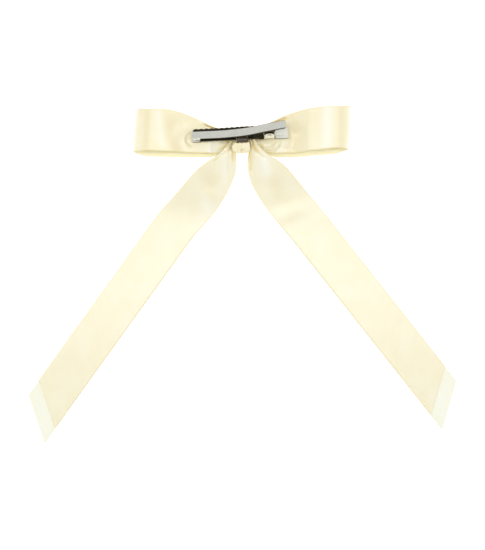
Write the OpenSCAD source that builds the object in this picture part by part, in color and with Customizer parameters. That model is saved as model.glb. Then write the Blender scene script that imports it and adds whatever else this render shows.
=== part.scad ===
// Satin hair bow on a toothed alligator clip, lying face down.
// Axes: +X to the right, +Y to the bow's top edge, +Z to the clip side.
// The origin is on the surface the bow lies on, under the middle of the knot.

/* [Ribbon] */
// width of the satin ribbon
ribbon_w = 25; // [24.6:0.1:25.4]
// thickness of one layer of ribbon
ribbon_t = 0.3; // [0.24:0.02:0.32]
// width of the gathered ribbon inside the knot
gather_w = 10.8; // [10.4:0.1:11]
// number of pleats across the gathered ribbon
pleats = 3.5; // [2.5:1:3.5]
// half height of the pleats in the knot
pleat_a = 0.9; // [0.6:0.05:0.95]
// distance from one gathered layer to the next
layer_pitch = 1.1; // [1.1:0.02:1.14]

/* [Loops] */
// reach of the left loop from the knot
left_reach = 64.3; // [62:0.1:65]
// reach of the right loop from the knot
right_reach = 62.7; // [60:0.1:64]
// height of the loops' back layer over the surface
loop_h = 17.4; // [16.5:0.1:18]
// height of the left loop's outer end above the knot line
left_rise = 16.5; // [15.5:0.1:17.5]
// height of the right loop's outer end above the knot line
right_rise = 18.1; // [17:0.1:19]

/* [Tails] */
// angle of the left tail from straight down
left_splay = 35.7; // [34:0.1:37]
// angle of the right tail from straight down
right_splay = 38.3; // [37:0.1:40]
// distance from the knot to the left tail's short corner
left_tail_l = 200.4; // [170:0.1:220]
// distance from the knot to the right tail's short corner
right_tail_l = 193.3; // [170:0.1:220]
// slant of the cut ends along the ribbon
cut_slant = 18; // [10:0.5:24]
// how much shorter the back strip of each tail is
back_short = 11.6; // [6:0.2:16]
// space between the two strips of a tail
strip_gap = 0.25; // [0.2:0.01:0.3]

/* [Knot] */
// width of the knot wrap
wrap_w = 6.6; // [6:0.1:7]
// thickness of the folded wrap
wrap_t = 0.5; // [0.4:0.02:0.52]
// diameter of the binding thread
thread_d = 0.4; // [0.3:0.02:0.4]
// number of turns of the binding thread
thread_turns = 5; // [4:1:6]

/* [Clip] */
// length of the lower jaw
clip_l = 56; // [56:0.1:57]
// distance from the pivot to the clip's tail end
tail_l = 11; // [10.5:0.1:11.5]
// width of the lower jaw's floor
floor_w = 5.8; // [5.6:0.1:6]
// width over the lower jaw's splayed flanges
flange_w = 8; // [7.8:0.1:8.1]
// height of the flanges over the underside
flange_h = 1.2; // [1.1:0.02:1.24]
// width of the upper jaw
upper_w = 5.2; // [5:0.1:5.3]
// thickness of the clip's sheet metal
metal_t = 0.5; // [0.4:0.02:0.54]
// distance from tooth to tooth
tooth_pitch = 3; // [2.4:0.1:3.6]
// height of the pivot over the lower jaw's underside
pivot_h = 3; // [2.9:0.05:3.1]
// radius of the pivot pin
pin_r = 0.8; // [0.7:0.05:0.85]
// radial clearance of the pin in the ears
pin_gap = 0.03; // [0.02:0.01:0.08]
// wire diameter of the torsion spring
wire_d = 0.6; // [0.5:0.05:0.65]
// turn of the clip in the plane of the bow
clip_yaw = 2.6; // [2:0.1:3]
// lean of the clip towards the bow's top edge
clip_lean = 24; // [23:0.5:25]

/* [Hidden] */
$fn = 48;
satin = [0.96, 0.92, 0.80];
steel = [0.78, 0.78, 0.76];
half_gather = gather_w / 2;
lap = 1.6;
gather_l = 4;
loop_sag = 9;
wrap_x = -0.8;
first_layer = 2.5;
lowest = ribbon_t / 2;
pivot = [15, 2.3, 13.8];
nose_u = tail_l - clip_l;
ear_t = metal_t;
ear_in = 3.05;
ear_r = 3.3;
upper_ear_r = 2;
coil_r = 1.75;
coil_turns = 4.5;

function layer(i) = first_layer + i * layer_pitch;
function mix(a, b, q) = a + (b - a) * q;
function clamp01(q) = min(1, max(0, q));
function ease(q) = let (c = clamp01(q)) c * c * (3 - 2 * c);
function unit(v) = v / norm(v);

// Point at share q of a Catmull-Rom spline through the points P.
function spline(P, q) =
  let (
    n = len(P) - 1,
    f = clamp01(q) * n,
    i = min(floor(f), n - 1),
    t = f - i,
    a = P[max(i - 1, 0)],
    b = P[i],
    c = P[i + 1],
    d = P[min(i + 2, n)]
  )
  0.5 * (2 * b + (c - a) * t + (2 * a - 5 * b + 4 * c - d) * t * t
         + (3 * b - a - 3 * c + d) * t * t * t);

function along(G, i, j) = G[min(i + 1, len(G) - 1)][j] - G[max(i - 1, 0)][j];
function across(G, i, j) = G[i][min(j + 1, len(G[0]) - 1)] - G[i][max(j - 1, 0)];
function normal(G, i, j) = unit(cross(along(G, i, j), across(G, i, j)));
function pleat(t) = cos(360 * pleats * t);

// Closed sheet of thickness t over a grid of points.
module sheet(G, t) {
  m = len(G);
  n = len(G[0]);
  top = [for (i = [0:m - 1]) for (j = [0:n - 1]) G[i][j] + normal(G, i, j) * t / 2];
  under = [for (i = [0:m - 1]) for (j = [0:n - 1]) G[i][j] - normal(G, i, j) * t / 2];
  b = m * n;
  quads = concat(
    [for (i = [0:m - 2]) for (j = [0:n - 2])
      [i * n + j, i * n + j + 1, (i + 1) * n + j + 1, (i + 1) * n + j]],
    [for (i = [0:m - 2]) for (j = [0:n - 2])
      [b + i * n + j, b + (i + 1) * n + j, b + (i + 1) * n + j + 1, b + i * n + j + 1]],
    [for (i = [0:m - 2]) [i * n, (i + 1) * n, b + (i + 1) * n, b + i * n]],
    [for (i = [0:m - 2])
      [i * n + n - 1, b + i * n + n - 1, b + (i + 1) * n + n - 1, (i + 1) * n + n - 1]],
    [for (j = [0:n - 2]) [j, b + j, b + j + 1, j + 1]],
    [for (j = [0:n - 2])
      [(m - 1) * n + j, (m - 1) * n + j + 1, b + (m - 1) * n + j + 1, b + (m - 1) * n + j]]
  );
  faces = [for (q = quads) for (f = [[q[0], q[1], q[2]], [q[0], q[2], q[3]]]) f];
  polyhedron(concat(top, under), faces);
}

// Round wire of radius r along a path of points.
module wire(path, r, sides = 8) {
  m = len(path);
  points = [for (i = [0:m - 1])
    let (
      d = unit(path[min(i + 1, m - 1)] - path[max(i - 1, 0)]),
      side = unit(cross(d, abs(d[1]) < 0.9 ? [0, 1, 0] : [1, 0, 0])),
      up = cross(side, d)
    )
    for (k = [0:sides - 1])
      path[i] + r * (cos(360 * k / sides) * side + sin(360 * k / sides) * up)];
  skin = [for (i = [0:m - 2]) for (k = [0:sides - 1])
    let (a = i * sides + k, b = i * sides + (k + 1) % sides)
    for (f = [[a, b, b + sides], [a, b + sides, a + sides]]) f];
  caps = [
    [for (k = [sides - 1:-1:0]) k],
    [for (k = [0:sides - 1]) (m - 1) * sides + k]
  ];
  polyhedron(points, concat(skin, caps));
}

// Side profile of a loop: distance from the knot and height, from the front
// end in the knot, round the loop's outer end, to the back end in the knot.
function loop_profile(reach, front, back) = [
  [-lap, front], [4.5, front], [13, 1.3], [21, lowest], [33, lowest], [46, lowest],
  [reach - 7.3, 0.9], [reach - 1.3, 5], [reach, 10.5], [reach - 2.8, 15.4],
  [reach - 10, loop_h], [reach - 19, loop_h - 0.8], [37, 14.3], [30, 11.7],
  [21, 10.1], [13, 7.5], [4.5, back], [-lap, back]
];

function loop_top(d, rise, early) =
  let (e = d - gather_l)
  mix(half_gather, rise, mix(ease(e / 43), 1 - pow(1 - clamp01(e / 46), 1.9), early));
function loop_bottom(d, rise) =
  mix(-half_gather - (loop_sag - half_gather) * ease((d - gather_l) / 17),
      rise - ribbon_w, ease((d - 25) / 35));
function loop_pleat(d) = pleat_a * (1 - ease((d - gather_l) / 18));

module loop(side, reach, rise, early, front, back) {
  steps = 44;
  cols = 21;
  profile = loop_profile(reach, front, back);
  sheet([for (i = [0:steps])
    let (
      p = spline(profile, i / steps),
      d = max(p[0], 0),
      top = loop_top(d, rise, early),
      bottom = loop_bottom(d, rise)
    )
    [for (j = [0:cols])
      let (t = side > 0 ? 1 - j / cols : j / cols)
      [side * p[0], mix(bottom, top, t),
       max(lowest, p[1] + loop_pleat(d) * pleat(t))]]], ribbon_t);
}

module left_loop() {
  color(satin) loop(-1, left_reach, left_rise, 0, layer(0), layer(2));
}

module right_loop() {
  color(satin) loop(1, right_reach, right_rise, 1, layer(1), layer(3));
}

// Edges of a tail from its end in the knot to where it lies flat.
function left_inner(z) = [
  [lap, -half_gather, z], [-lap, -half_gather, z], [-3.9, -half_gather, z], [-4.5, -9.5, z + 0.3],
  [-4.4, -17, 5.2], [-8.6, -28.5, 2.4], [-16.5, -41.5, 0.6]
];
function left_outer(z) = [
  [lap, half_gather, z], [-lap, half_gather, z], [-3.9, half_gather - 0.3, z], [-8, -1.2, z + 2.1],
  [-13.4, -8.1, 10.6], [-26, -16.9, 9.2], [-38.5, -29.6, 4]
];
function right_inner(z) = [
  [-lap, -half_gather, z], [lap, -half_gather, z], [2.9, -half_gather, z], [2.9, -9.5, z - 0.6],
  [2.5, -17, 5.2], [5.5, -26.8, 2.4], [14, -40.5, 0.6]
];
function right_outer(z) = [
  [-lap, half_gather, z], [lap, half_gather, z], [3.5, half_gather - 0.3, z], [7, -0.8, z + 1.4],
  [11.6, -7.1, 10.6], [22.4, -14.2, 9.2], [33.2, -24.8, 4]
];

// A tail strip: side is -1 left or 1 right, level the space over the front strip.
module tail(side, inner, outer, splay, short_end, offset_in, offset_out, z_add, z_rest) {
  bend_steps = 16;
  flat_steps = 8;
  cols = 18;
  dir = [side * sin(splay), -cos(splay)];
  nrm = [-side * cos(splay), -sin(splay)];
  start_l = 66;
  flat_in = start_l * dir + offset_in * nrm;
  flat_out = start_l * dir + offset_out * nrm;
  end_in = (short_end + cut_slant) * dir + offset_in * nrm;
  end_out = short_end * dir + offset_out * nrm;
  rest = lowest + z_rest;
  path_in = concat(inner, [[flat_in[0], flat_in[1], lowest]]);
  path_out = concat(outer, [[flat_out[0], flat_out[1], lowest]]);
  bend = [for (i = [0:bend_steps])
    let (
      q = i / bend_steps,
      a = spline(path_in, q),
      b = spline(path_out, q),
      lift = mix(z_add, z_rest, ease(q * 1.15)),
      amp = pleat_a * (1 - ease((q - 0.08) / 0.62))
    )
    [for (j = [0:cols])
      let (t = side > 0 ? 1 - j / cols : j / cols, p = mix(a, b, t))
      [p[0], p[1], max(rest, p[2] + lift + amp * pleat(t))]]];
  flat = [for (i = [1:flat_steps])
    let (q = i / flat_steps)
    [for (j = [0:cols])
      let (
        t = side > 0 ? 1 - j / cols : j / cols,
        p = mix(mix(flat_in, end_in, q), mix(flat_out, end_out, q), t)
      )
      [p[0], p[1], rest]]];
  sheet(concat(bend, flat), ribbon_t);
}

module left_tail_front() {
  color(satin)
    tail(-1, left_inner(layer(4)), left_outer(layer(4)), left_splay, left_tail_l,
         8.9, 8.9 - ribbon_w, 0, 0);
}

module left_tail_back() {
  color(satin)
    tail(-1, left_inner(layer(4)), left_outer(layer(4)), left_splay,
         left_tail_l - back_short, 8.6, 8.6 - ribbon_w, 2 * layer_pitch,
         ribbon_t + strip_gap);
}

module right_tail_front() {
  color(satin)
    tail(1, right_inner(layer(5)), right_outer(layer(5)), right_splay, right_tail_l,
         13.7, 13.7 - ribbon_w, 0, 0);
}

module right_tail_back() {
  color(satin)
    tail(1, right_inner(layer(5)), right_outer(layer(5)), right_splay,
         right_tail_l - back_short, 13.4, 13.4 - ribbon_w, 2 * layer_pitch,
         ribbon_t + strip_gap);
}

// Thread wound round the gathered layers.
module binding_thread() {
  per_turn = 32;
  half_y = half_gather + 0.95;
  half_z = 3.5 * layer_pitch + pleat_a + 0.65;
  mid_z = layer(3.5);
  length = 3.4;
  steps = per_turn * thread_turns;
  color(satin)
    wire([for (i = [0:steps])
      let (
        a = 360 * i / per_turn,
        k = pow(pow(abs(cos(a)), 8) + pow(abs(sin(a)), 8), -1 / 8)
      )
      [-length / 2 + length * i / steps,
       half_y * k * cos(a),
       mid_z + half_z * k * sin(a)]], thread_d / 2, 6);
}

// Places what is drawn in the clip's own frame: x along it from the pivot to its
// tail, y across it, z away from the bow.
module on_clip() {
  translate(pivot)
    rotate([0, 0, clip_yaw])
      rotate([-clip_lean, 0, 0])
        children();
}

// Places a section drawn in the bow's YZ plane and extruded over width w.
module across_knot(w) {
  rotate([0, 0, clip_yaw])
    translate([wrap_x - w / 2, 0, 0])
      rotate([90, 0, 90])
        linear_extrude(w)
          children();
}

// Point of the clip's cross-section in the bow's YZ plane, under the knot wrap.
function at_jaw(v, w) = [
  pivot[1] - pivot[0] * tan(clip_yaw) + v * cos(clip_lean) + w * sin(clip_lean),
  pivot[2] - v * sin(clip_lean) + w * cos(clip_lean)
];

module glue_pad() {
  color([0.93, 0.91, 0.84])
    across_knot(6.5)
      polygon([[-2.2, 12.5], [3.7, 12.5], at_jaw(2.5, -0.15), at_jaw(-2.5, -0.15), [-1.9, 13.9]]);
}

// Closed centre line of the wrap round the gathered ribbon and the lower jaw.
wrap_line = [
  [0, wrap_t / 2], [4.9, wrap_t / 2], [6.7, 1.8], [7.05, 6.5], [7.2, 10.6],
  at_jaw(4.55, 0.5), at_jaw(4.3, 1.35), at_jaw(3.4, 1.66), at_jaw(0, 1.63),
  at_jaw(-3.3, 1.68), at_jaw(-4.4, 1.25), [-3.7, 15], [-6.5, 11.6],
  [-7.15, 7], [-6.7, 1.8], [-4.9, wrap_t / 2]
];

function closed_spline(P, i, t) =
  let (
    n = len(P),
    a = P[(i + n - 1) % n],
    b = P[i],
    c = P[(i + 1) % n],
    d = P[(i + 2) % n]
  )
  0.5 * (2 * b + (c - a) * t + (2 * a - 5 * b + 4 * c - d) * t * t
         + (3 * b - a - 3 * c + d) * t * t * t);

function wrap_outline(shift) =
  let (
    sub = 4,
    pts = [for (i = [0:len(wrap_line) - 1]) for (k = [0:sub - 1])
      let (p = closed_spline(wrap_line, i, k / sub)) [p[0], max(p[1], wrap_t / 2)]],
    n = len(pts)
  )
  [for (i = [0:n - 1])
    let (d = unit(pts[(i + 1) % n] - pts[(i + n - 1) % n]))
    pts[i] + shift * [d[1], -d[0]]];

module knot_wrap() {
  color(satin)
    across_knot(wrap_w)
      difference() {
        polygon(wrap_outline(wrap_t / 2));
        polygon(wrap_outline(-wrap_t / 2));
      }
}

// Profile of the jaw floor with its splayed flanges, across the clip.
module channel(length) {
  rise = flange_h;
  out = flange_w / 2;
  foot = floor_w / 2;
  rotate([90, 0, 90])
    linear_extrude(length)
      polygon([[-foot, 0], [foot, 0], [out, rise - 0.25], [out - 0.25, rise],
               [foot - 0.3, metal_t], [0.3 - foot, metal_t],
               [0.25 - out, rise], [-out, rise - 0.25]]);
}

// Ear standing on one side of the lower jaw, with the pin's hole.
module ear(inside, r, foot_w, foot_z) {
  rotate([90, 0, 0])
    linear_extrude(ear_t)
      difference() {
        union() {
          translate([0, pivot_h])
            circle(r);
          translate([-foot_w / 2, foot_z])
            square([foot_w, pivot_h - foot_z]);
        }
        translate([0, pivot_h])
          circle(pin_r + pin_gap);
      }
}

module lower_jaw() {
  teeth_from = nose_u + 4.5;
  teeth = floor((-7 - teeth_from) / tooth_pitch);
  color(steel)
    on_clip()
      union() {
        difference() {
          translate([teeth_from - 0.5, 0, 0])
            channel(-6 - teeth_from + 0.5);
          for (i = [0:teeth])
            translate([teeth_from + 0.8 + i * tooth_pitch, 0, flange_h + 0.35])
              rotate([90, 0, 0])
                cylinder(r = 0.95, h = flange_w + 1, center = true, $fn = 24);
        }
        translate([nose_u, 0.4 - flange_w / 2, 0])
          cube([5, flange_w - 0.8, metal_t]);
        translate([-7, -ear_in - ear_t, 0])
          cube([7 + tail_l, 2 * (ear_in + ear_t), metal_t]);
        for (side = [0, 1])
          translate([0, side == 0 ? -ear_in : ear_in + ear_t, 0])
            ear(ear_in, ear_r - 0.6, 2 * ear_r, 0.2);
      }
}

// Height of the upper jaw's underside along the clip.
upper_line = [
  [nose_u, 1.7], [-27, 1.75], [-20.5, 2.3], [-17, 2.7], [-12, 3.5], [-6, 5.3],
  [tail_l - 1.5, 9.4]
];

module upper_jaw() {
  under = upper_line;
  n = len(under);
  back = [for (i = [n - 1:-1:0]) under[i] + [0, metal_t + 0.05]];
  color(steel)
    on_clip()
      union() {
        translate([0, upper_w / 2, 0])
          rotate([90, 0, 0])
            linear_extrude(upper_w)
              polygon(concat(under, back));
        // turned-down edges that grip against the lower jaw's floor
        for (side = [-1, 1])
          translate([nose_u + 1.5, side * (upper_w / 2 - 0.25) - 0.25, 1.35])
            cube([18, 0.5, 0.5]);
        // stiffening bead near the tail end
        translate([tail_l - 4, 0, 9.45 - 0.4])
          rotate([90, 0, 0])
            cylinder(r = 0.5, h = upper_w - 0.6, center = true, $fn = 24);
        // ears inside the lower jaw's ears
        for (side = [0, 1])
          translate([0, side == 0 ? -upper_w / 2 + ear_t : upper_w / 2, 0])
            rotate([90, 0, 0])
              linear_extrude(ear_t)
                difference() {
                  union() {
                    translate([0, pivot_h])
                      circle(upper_ear_r);
                    polygon([[-upper_ear_r, pivot_h], [upper_ear_r, pivot_h],
                             [3.4, 7.7], [-3.4, 6.1]]);
                  }
                  translate([0, pivot_h])
                    circle(pin_r + pin_gap);
                }
      }
}

module pivot_pin() {
  head_gap = 0.05;
  color(steel)
    on_clip()
      translate([0, 0, pivot_h])
        rotate([90, 0, 0])
          union() {
            cylinder(r = pin_r, h = 2 * (ear_in + ear_t + head_gap) + 0.4, center = true);
            for (side = [-1, 1])
              translate([0, 0, side * (ear_in + ear_t + head_gap + 0.2)])
                cylinder(r = pin_r + 0.5, h = 0.4, center = true);
          }
}

// Spring coil round the pin, with one leg under the upper jaw's tail and one on
// the lower jaw's tail.
module torsion_spring() {
  per_turn = 18;
  half = 1.5;
  start = -90;
  sweep = 360 * coil_turns;
  steps = floor(per_turn * coil_turns);
  coil = [for (i = [0:steps])
    let (a = start + sweep * i / steps)
    [coil_r * cos(a), -half + 2 * half * i / steps, pivot_h + coil_r * sin(a)]];
  lower_leg = [[8.2, -half, metal_t + wire_d / 2 + 0.1], [2.4, -half, pivot_h - coil_r]];
  upper_leg = [[2, half, pivot_h + coil_r + 1.15], [7.4, half, 8.05]];
  color([0.7, 0.7, 0.7])
    on_clip()
      wire(concat(lower_leg, coil, upper_leg), wire_d / 2);
}

left_loop();
right_loop();
left_tail_front();
left_tail_back();
right_tail_front();
right_tail_back();
binding_thread();
glue_pad();
knot_wrap();
lower_jaw();
upper_jaw();
pivot_pin();
torsion_spring();
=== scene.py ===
"""Hair bow of ivory satin ribbon on a toothed alligator clip, lying face down."""

import logging
import math
from dataclasses import dataclass, field
from enum import Enum
from typing import Callable, Sequence

import bmesh
import bpy
import numpy as np
from mathutils import Matrix, Vector


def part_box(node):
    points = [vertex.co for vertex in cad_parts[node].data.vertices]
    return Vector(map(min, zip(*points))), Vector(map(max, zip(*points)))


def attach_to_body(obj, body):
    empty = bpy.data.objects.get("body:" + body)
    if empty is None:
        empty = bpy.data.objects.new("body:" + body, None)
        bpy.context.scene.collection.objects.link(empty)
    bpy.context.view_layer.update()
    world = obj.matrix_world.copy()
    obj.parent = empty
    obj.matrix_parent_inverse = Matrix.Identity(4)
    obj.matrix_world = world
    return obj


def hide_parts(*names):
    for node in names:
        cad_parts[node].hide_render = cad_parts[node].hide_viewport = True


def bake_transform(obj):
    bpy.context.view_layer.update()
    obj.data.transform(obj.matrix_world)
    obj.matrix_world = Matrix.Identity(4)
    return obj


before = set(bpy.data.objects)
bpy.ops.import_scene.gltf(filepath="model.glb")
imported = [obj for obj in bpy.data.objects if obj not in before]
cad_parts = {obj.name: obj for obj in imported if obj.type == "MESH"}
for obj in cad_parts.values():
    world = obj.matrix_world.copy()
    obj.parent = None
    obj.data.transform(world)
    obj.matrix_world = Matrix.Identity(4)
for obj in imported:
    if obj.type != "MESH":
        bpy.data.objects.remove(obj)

log = logging.getLogger("hair_bow")
Array = np.ndarray

Colour = tuple[float, float, float]
Place = tuple[float, float, float]

MM = 0.001
FLAT_UV = "flat"
FLAT_UV_MM = 10.0
SEALED = "sealed_edge"
# Attribute of light and shade painted on the satin: above 0 a painted highlight, below 0 painted
# shade.
PAINTED_LIGHT = "satin_painted_light_and_shade"
NO_SELVEDGE = 1000.0
CREASE_ANGLE = 40.0
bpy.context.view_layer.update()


class Body(Enum):
    """The rigid bodies that pieces ride on."""

    BOW = "bow"
    JAW = "jaw"


class Side(Enum):
    """Which half of the bow a piece belongs to."""

    LEFT = -1
    RIGHT = 1


class Layer(Enum):
    """Which strip of a doubled tail: towards the bow's face, or its clip."""

    FRONT = "front"
    BACK = "back"


class Hold(Enum):
    """How a strip of ribbon is held."""

    FOLDED = "folded"
    LAID = "laid"
    GATHERED = "gathered"


# ---------------------------------------------------------------- curves


def mix(a: Array, b: Array, share: Array) -> Array:
    """Blend from a to b."""
    return a + (b - a) * share


def ease(share: Array) -> Array:
    """Smooth step from 0 to 1."""
    c = np.clip(share, 0.0, 1.0)
    return c * c * (3.0 - 2.0 * c)


def bell(offset: Array, reach: float) -> Array:
    """Smooth hump of height 1 that dies out over reach."""
    return np.exp(-((offset / reach) ** 2))


class SmoothPath:
    """A curve of continuous curvature through a few points."""

    def __init__(self, points: Sequence[Sequence[float]], closed: bool = False) -> None:
        """Fit the curve.

        Args:
            points: The points, in order, of any dimension.
            closed: Whether the curve runs back into its start.
        """
        pts = np.array(points, float)
        count = len(pts)
        if closed:
            pts = np.vstack([pts[-4:], pts, pts[:5]])
        steps = np.linalg.norm(np.diff(pts, axis=0), axis=1) ** 0.75
        self.knots = np.concatenate([[0.0], np.cumsum(steps)])
        self.points = pts
        self.first, self.last = (4, 4 + count) if closed else (0, count - 1)
        n = len(pts)
        system = np.eye(n)
        right = np.zeros_like(pts)
        for i in range(1, n - 1):
            h0, h1 = steps[i - 1], steps[i]
            system[i, i - 1 : i + 2] = h0, 2 * (h0 + h1), h1
            right[i] = 6 * ((pts[i + 1] - pts[i]) / h1 - (pts[i] - pts[i - 1]) / h0)
        self.curvature = np.linalg.solve(system, right)

    def at(self, share: Array) -> Array:
        """Points of the curve.

        Args:
            share: Shares of its length, from 0 to 1.

        Returns:
            One point for each share.
        """
        start, end = self.knots[self.first], self.knots[self.last]
        x = mix(start, end, np.clip(share, 0.0, 1.0))
        i = np.clip(np.searchsorted(self.knots, x, side="right") - 1, 0, len(self.points) - 2)
        h = (self.knots[i + 1] - self.knots[i])[:, None]
        a = (self.knots[i + 1] - x)[:, None] / h
        b = 1.0 - a
        bend = (a**3 - a) * self.curvature[i] + (b**3 - b) * self.curvature[i + 1]
        return a * self.points[i] + b * self.points[i + 1] + bend * h * h / 6.0


# ---------------------------------------------------------------- shader graph


class Signal:
    """A shader socket that can be used in Python expressions."""

    def __init__(self, graph: "Graph", socket: bpy.types.NodeSocket) -> None:
        """Wrap one output socket of a graph."""
        self.graph = graph
        self.socket = socket

    def _math(self, operation: str, *values: "Signal | float") -> "Signal":
        """Add one Math node."""
        return self.graph.node(
            "ShaderNodeMath", {"operation": operation}, dict(enumerate(values))
        )

    def __add__(self, other: "Signal | float") -> "Signal":
        """Sum."""
        return self._math("ADD", self, other)

    def __radd__(self, other: float) -> "Signal":
        """Sum."""
        return self._math("ADD", other, self)

    def __sub__(self, other: "Signal | float") -> "Signal":
        """Difference."""
        return self._math("SUBTRACT", self, other)

    def __rsub__(self, other: float) -> "Signal":
        """Difference from a number."""
        return self._math("SUBTRACT", other, self)

    def __mul__(self, other: "Signal | float") -> "Signal":
        """Product."""
        return self._math("MULTIPLY", self, other)

    def __rmul__(self, other: float) -> "Signal":
        """Product."""
        return self._math("MULTIPLY", other, self)

    def lowest(self, other: "Signal | float") -> "Signal":
        """The smaller of two values."""
        return self._math("MINIMUM", self, other)

    def highest(self, other: "Signal | float") -> "Signal":
        """The larger of two values."""
        return self._math("MAXIMUM", self, other)

    def held(self) -> "Signal":
        """The value kept between 0 and 1."""
        return self.highest(0.0).lowest(1.0)

    def wave(self) -> "Signal":
        """Sine of the value in radians, from -1 to 1."""
        return self._math("SINE", self)

    def fades(self, start: float, end: float) -> "Signal":
        """Smooth 0 to 1 as the value goes from start to end."""
        return self.graph.node(
            "ShaderNodeMapRange",
            {"interpolation_type": "SMOOTHSTEP"},
            {"Value": self, "From Min": start, "From Max": end},
        )


class Graph:
    """The node tree of one material."""

    def __init__(self, name: str) -> None:
        """Start an empty material.

        Args:
            name: The material's name.
        """
        self.material = bpy.data.materials.new(name)
        self.material.use_nodes = True
        self.tree = self.material.node_tree
        self.tree.nodes.clear()

    def node(
        self,
        kind: str,
        settings: dict | None = None,
        values: dict | None = None,
        output: int | str = 0,
    ) -> Signal:
        """Add one node.

        Args:
            kind: The node's type.
            settings: Its properties, set before its sockets.
            values: Numbers, colours or signals, by socket name, identifier or index.
            output: Which of its outputs to return.

        Returns:
            That output.
        """
        made = self.tree.nodes.new(kind)
        for name, value in (settings or {}).items():
            setattr(made, name, value)
        for key, value in (values or {}).items():
            socket = self.find(made.inputs, key)
            if isinstance(value, Signal):
                self.tree.links.new(value.socket, socket)
            else:
                socket.default_value = value
        return Signal(self, self.find(made.outputs, output) if made.outputs else None)

    @staticmethod
    def find(sockets: Sequence[bpy.types.NodeSocket], key: int | str) -> bpy.types.NodeSocket:
        """Find a socket.

        Args:
            sockets: A node's inputs or outputs.
            key: The socket's index, identifier or name.

        Returns:
            The socket, by its identifier where there is one of that name.
        """
        if isinstance(key, int):
            return sockets[key]
        exact = [s for s in sockets if s.identifier == key]
        return (exact or [s for s in sockets if s.name == key])[0]

    def blend(
        self, share: Signal | float, low: Signal | Colour, high: Signal | Colour
    ) -> Signal:
        """Colour between low and high."""
        return self.node(
            "ShaderNodeMix",
            {"data_type": "RGBA"},
            {"Factor_Float": share, "A_Color": paint(low), "B_Color": paint(high)},
            "Result_Color",
        )

    def object_point(self, scale: tuple[float, float, float] = (1, 1, 1)) -> Signal:
        """Read the object coordinates.

        Args:
            scale: How much finer each axis is.

        Returns:
            The point, in millimetres times scale.
        """
        point = self.node("ShaderNodeTexCoord", output="Object")
        per_mm = tuple(s / MM for s in scale)
        return self.node("ShaderNodeMapping", values={"Vector": point, "Scale": per_mm})

    def flat_point(self) -> tuple[Signal, Signal]:
        """Read the place on the flat ribbon.

        Returns:
            Millimetres across it and along it.
        """
        flat = self.node("ShaderNodeUVMap", {"uv_map": FLAT_UV})
        across, along = (
            self.node("ShaderNodeSeparateXYZ", values={"Vector": flat}, output=axis)
            for axis in ("X", "Y")
        )
        return across * FLAT_UV_MM, along * FLAT_UV_MM

    def join(self, x: Signal, y: Signal) -> Signal:
        """Vector from two values."""
        return self.node("ShaderNodeCombineXYZ", values={"X": x, "Y": y})

    def noise(self, vector: Signal, scale: float, detail: float = 2.0) -> Signal:
        """Soft random value from 0 to 1."""
        return self.node(
            "ShaderNodeTexNoise", values={"Vector": vector, "Scale": scale, "Detail": detail}
        )

    def bump(self, height: Signal, strength: float, distance: float) -> Signal:
        """Normal from a height, with distance in millimetres."""
        return self.node(
            "ShaderNodeBump",
            values={"Height": height, "Strength": strength, "Distance": distance * MM},
        )

    def finish(self, values: dict) -> bpy.types.Material:
        """Close the graph with the surface shader.

        Args:
            values: The shader's sockets.

        Returns:
            The finished material.
        """
        shader = self.node("ShaderNodeBsdfPrincipled", values=values)
        self.node("ShaderNodeOutputMaterial", values={"Surface": shader})
        return self.material


def paint(colour: Signal | Colour) -> Signal | tuple:
    """A colour as a socket takes it."""
    return colour if isinstance(colour, Signal) else (*colour, 1.0)


# ---------------------------------------------------------------- finishes


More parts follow.
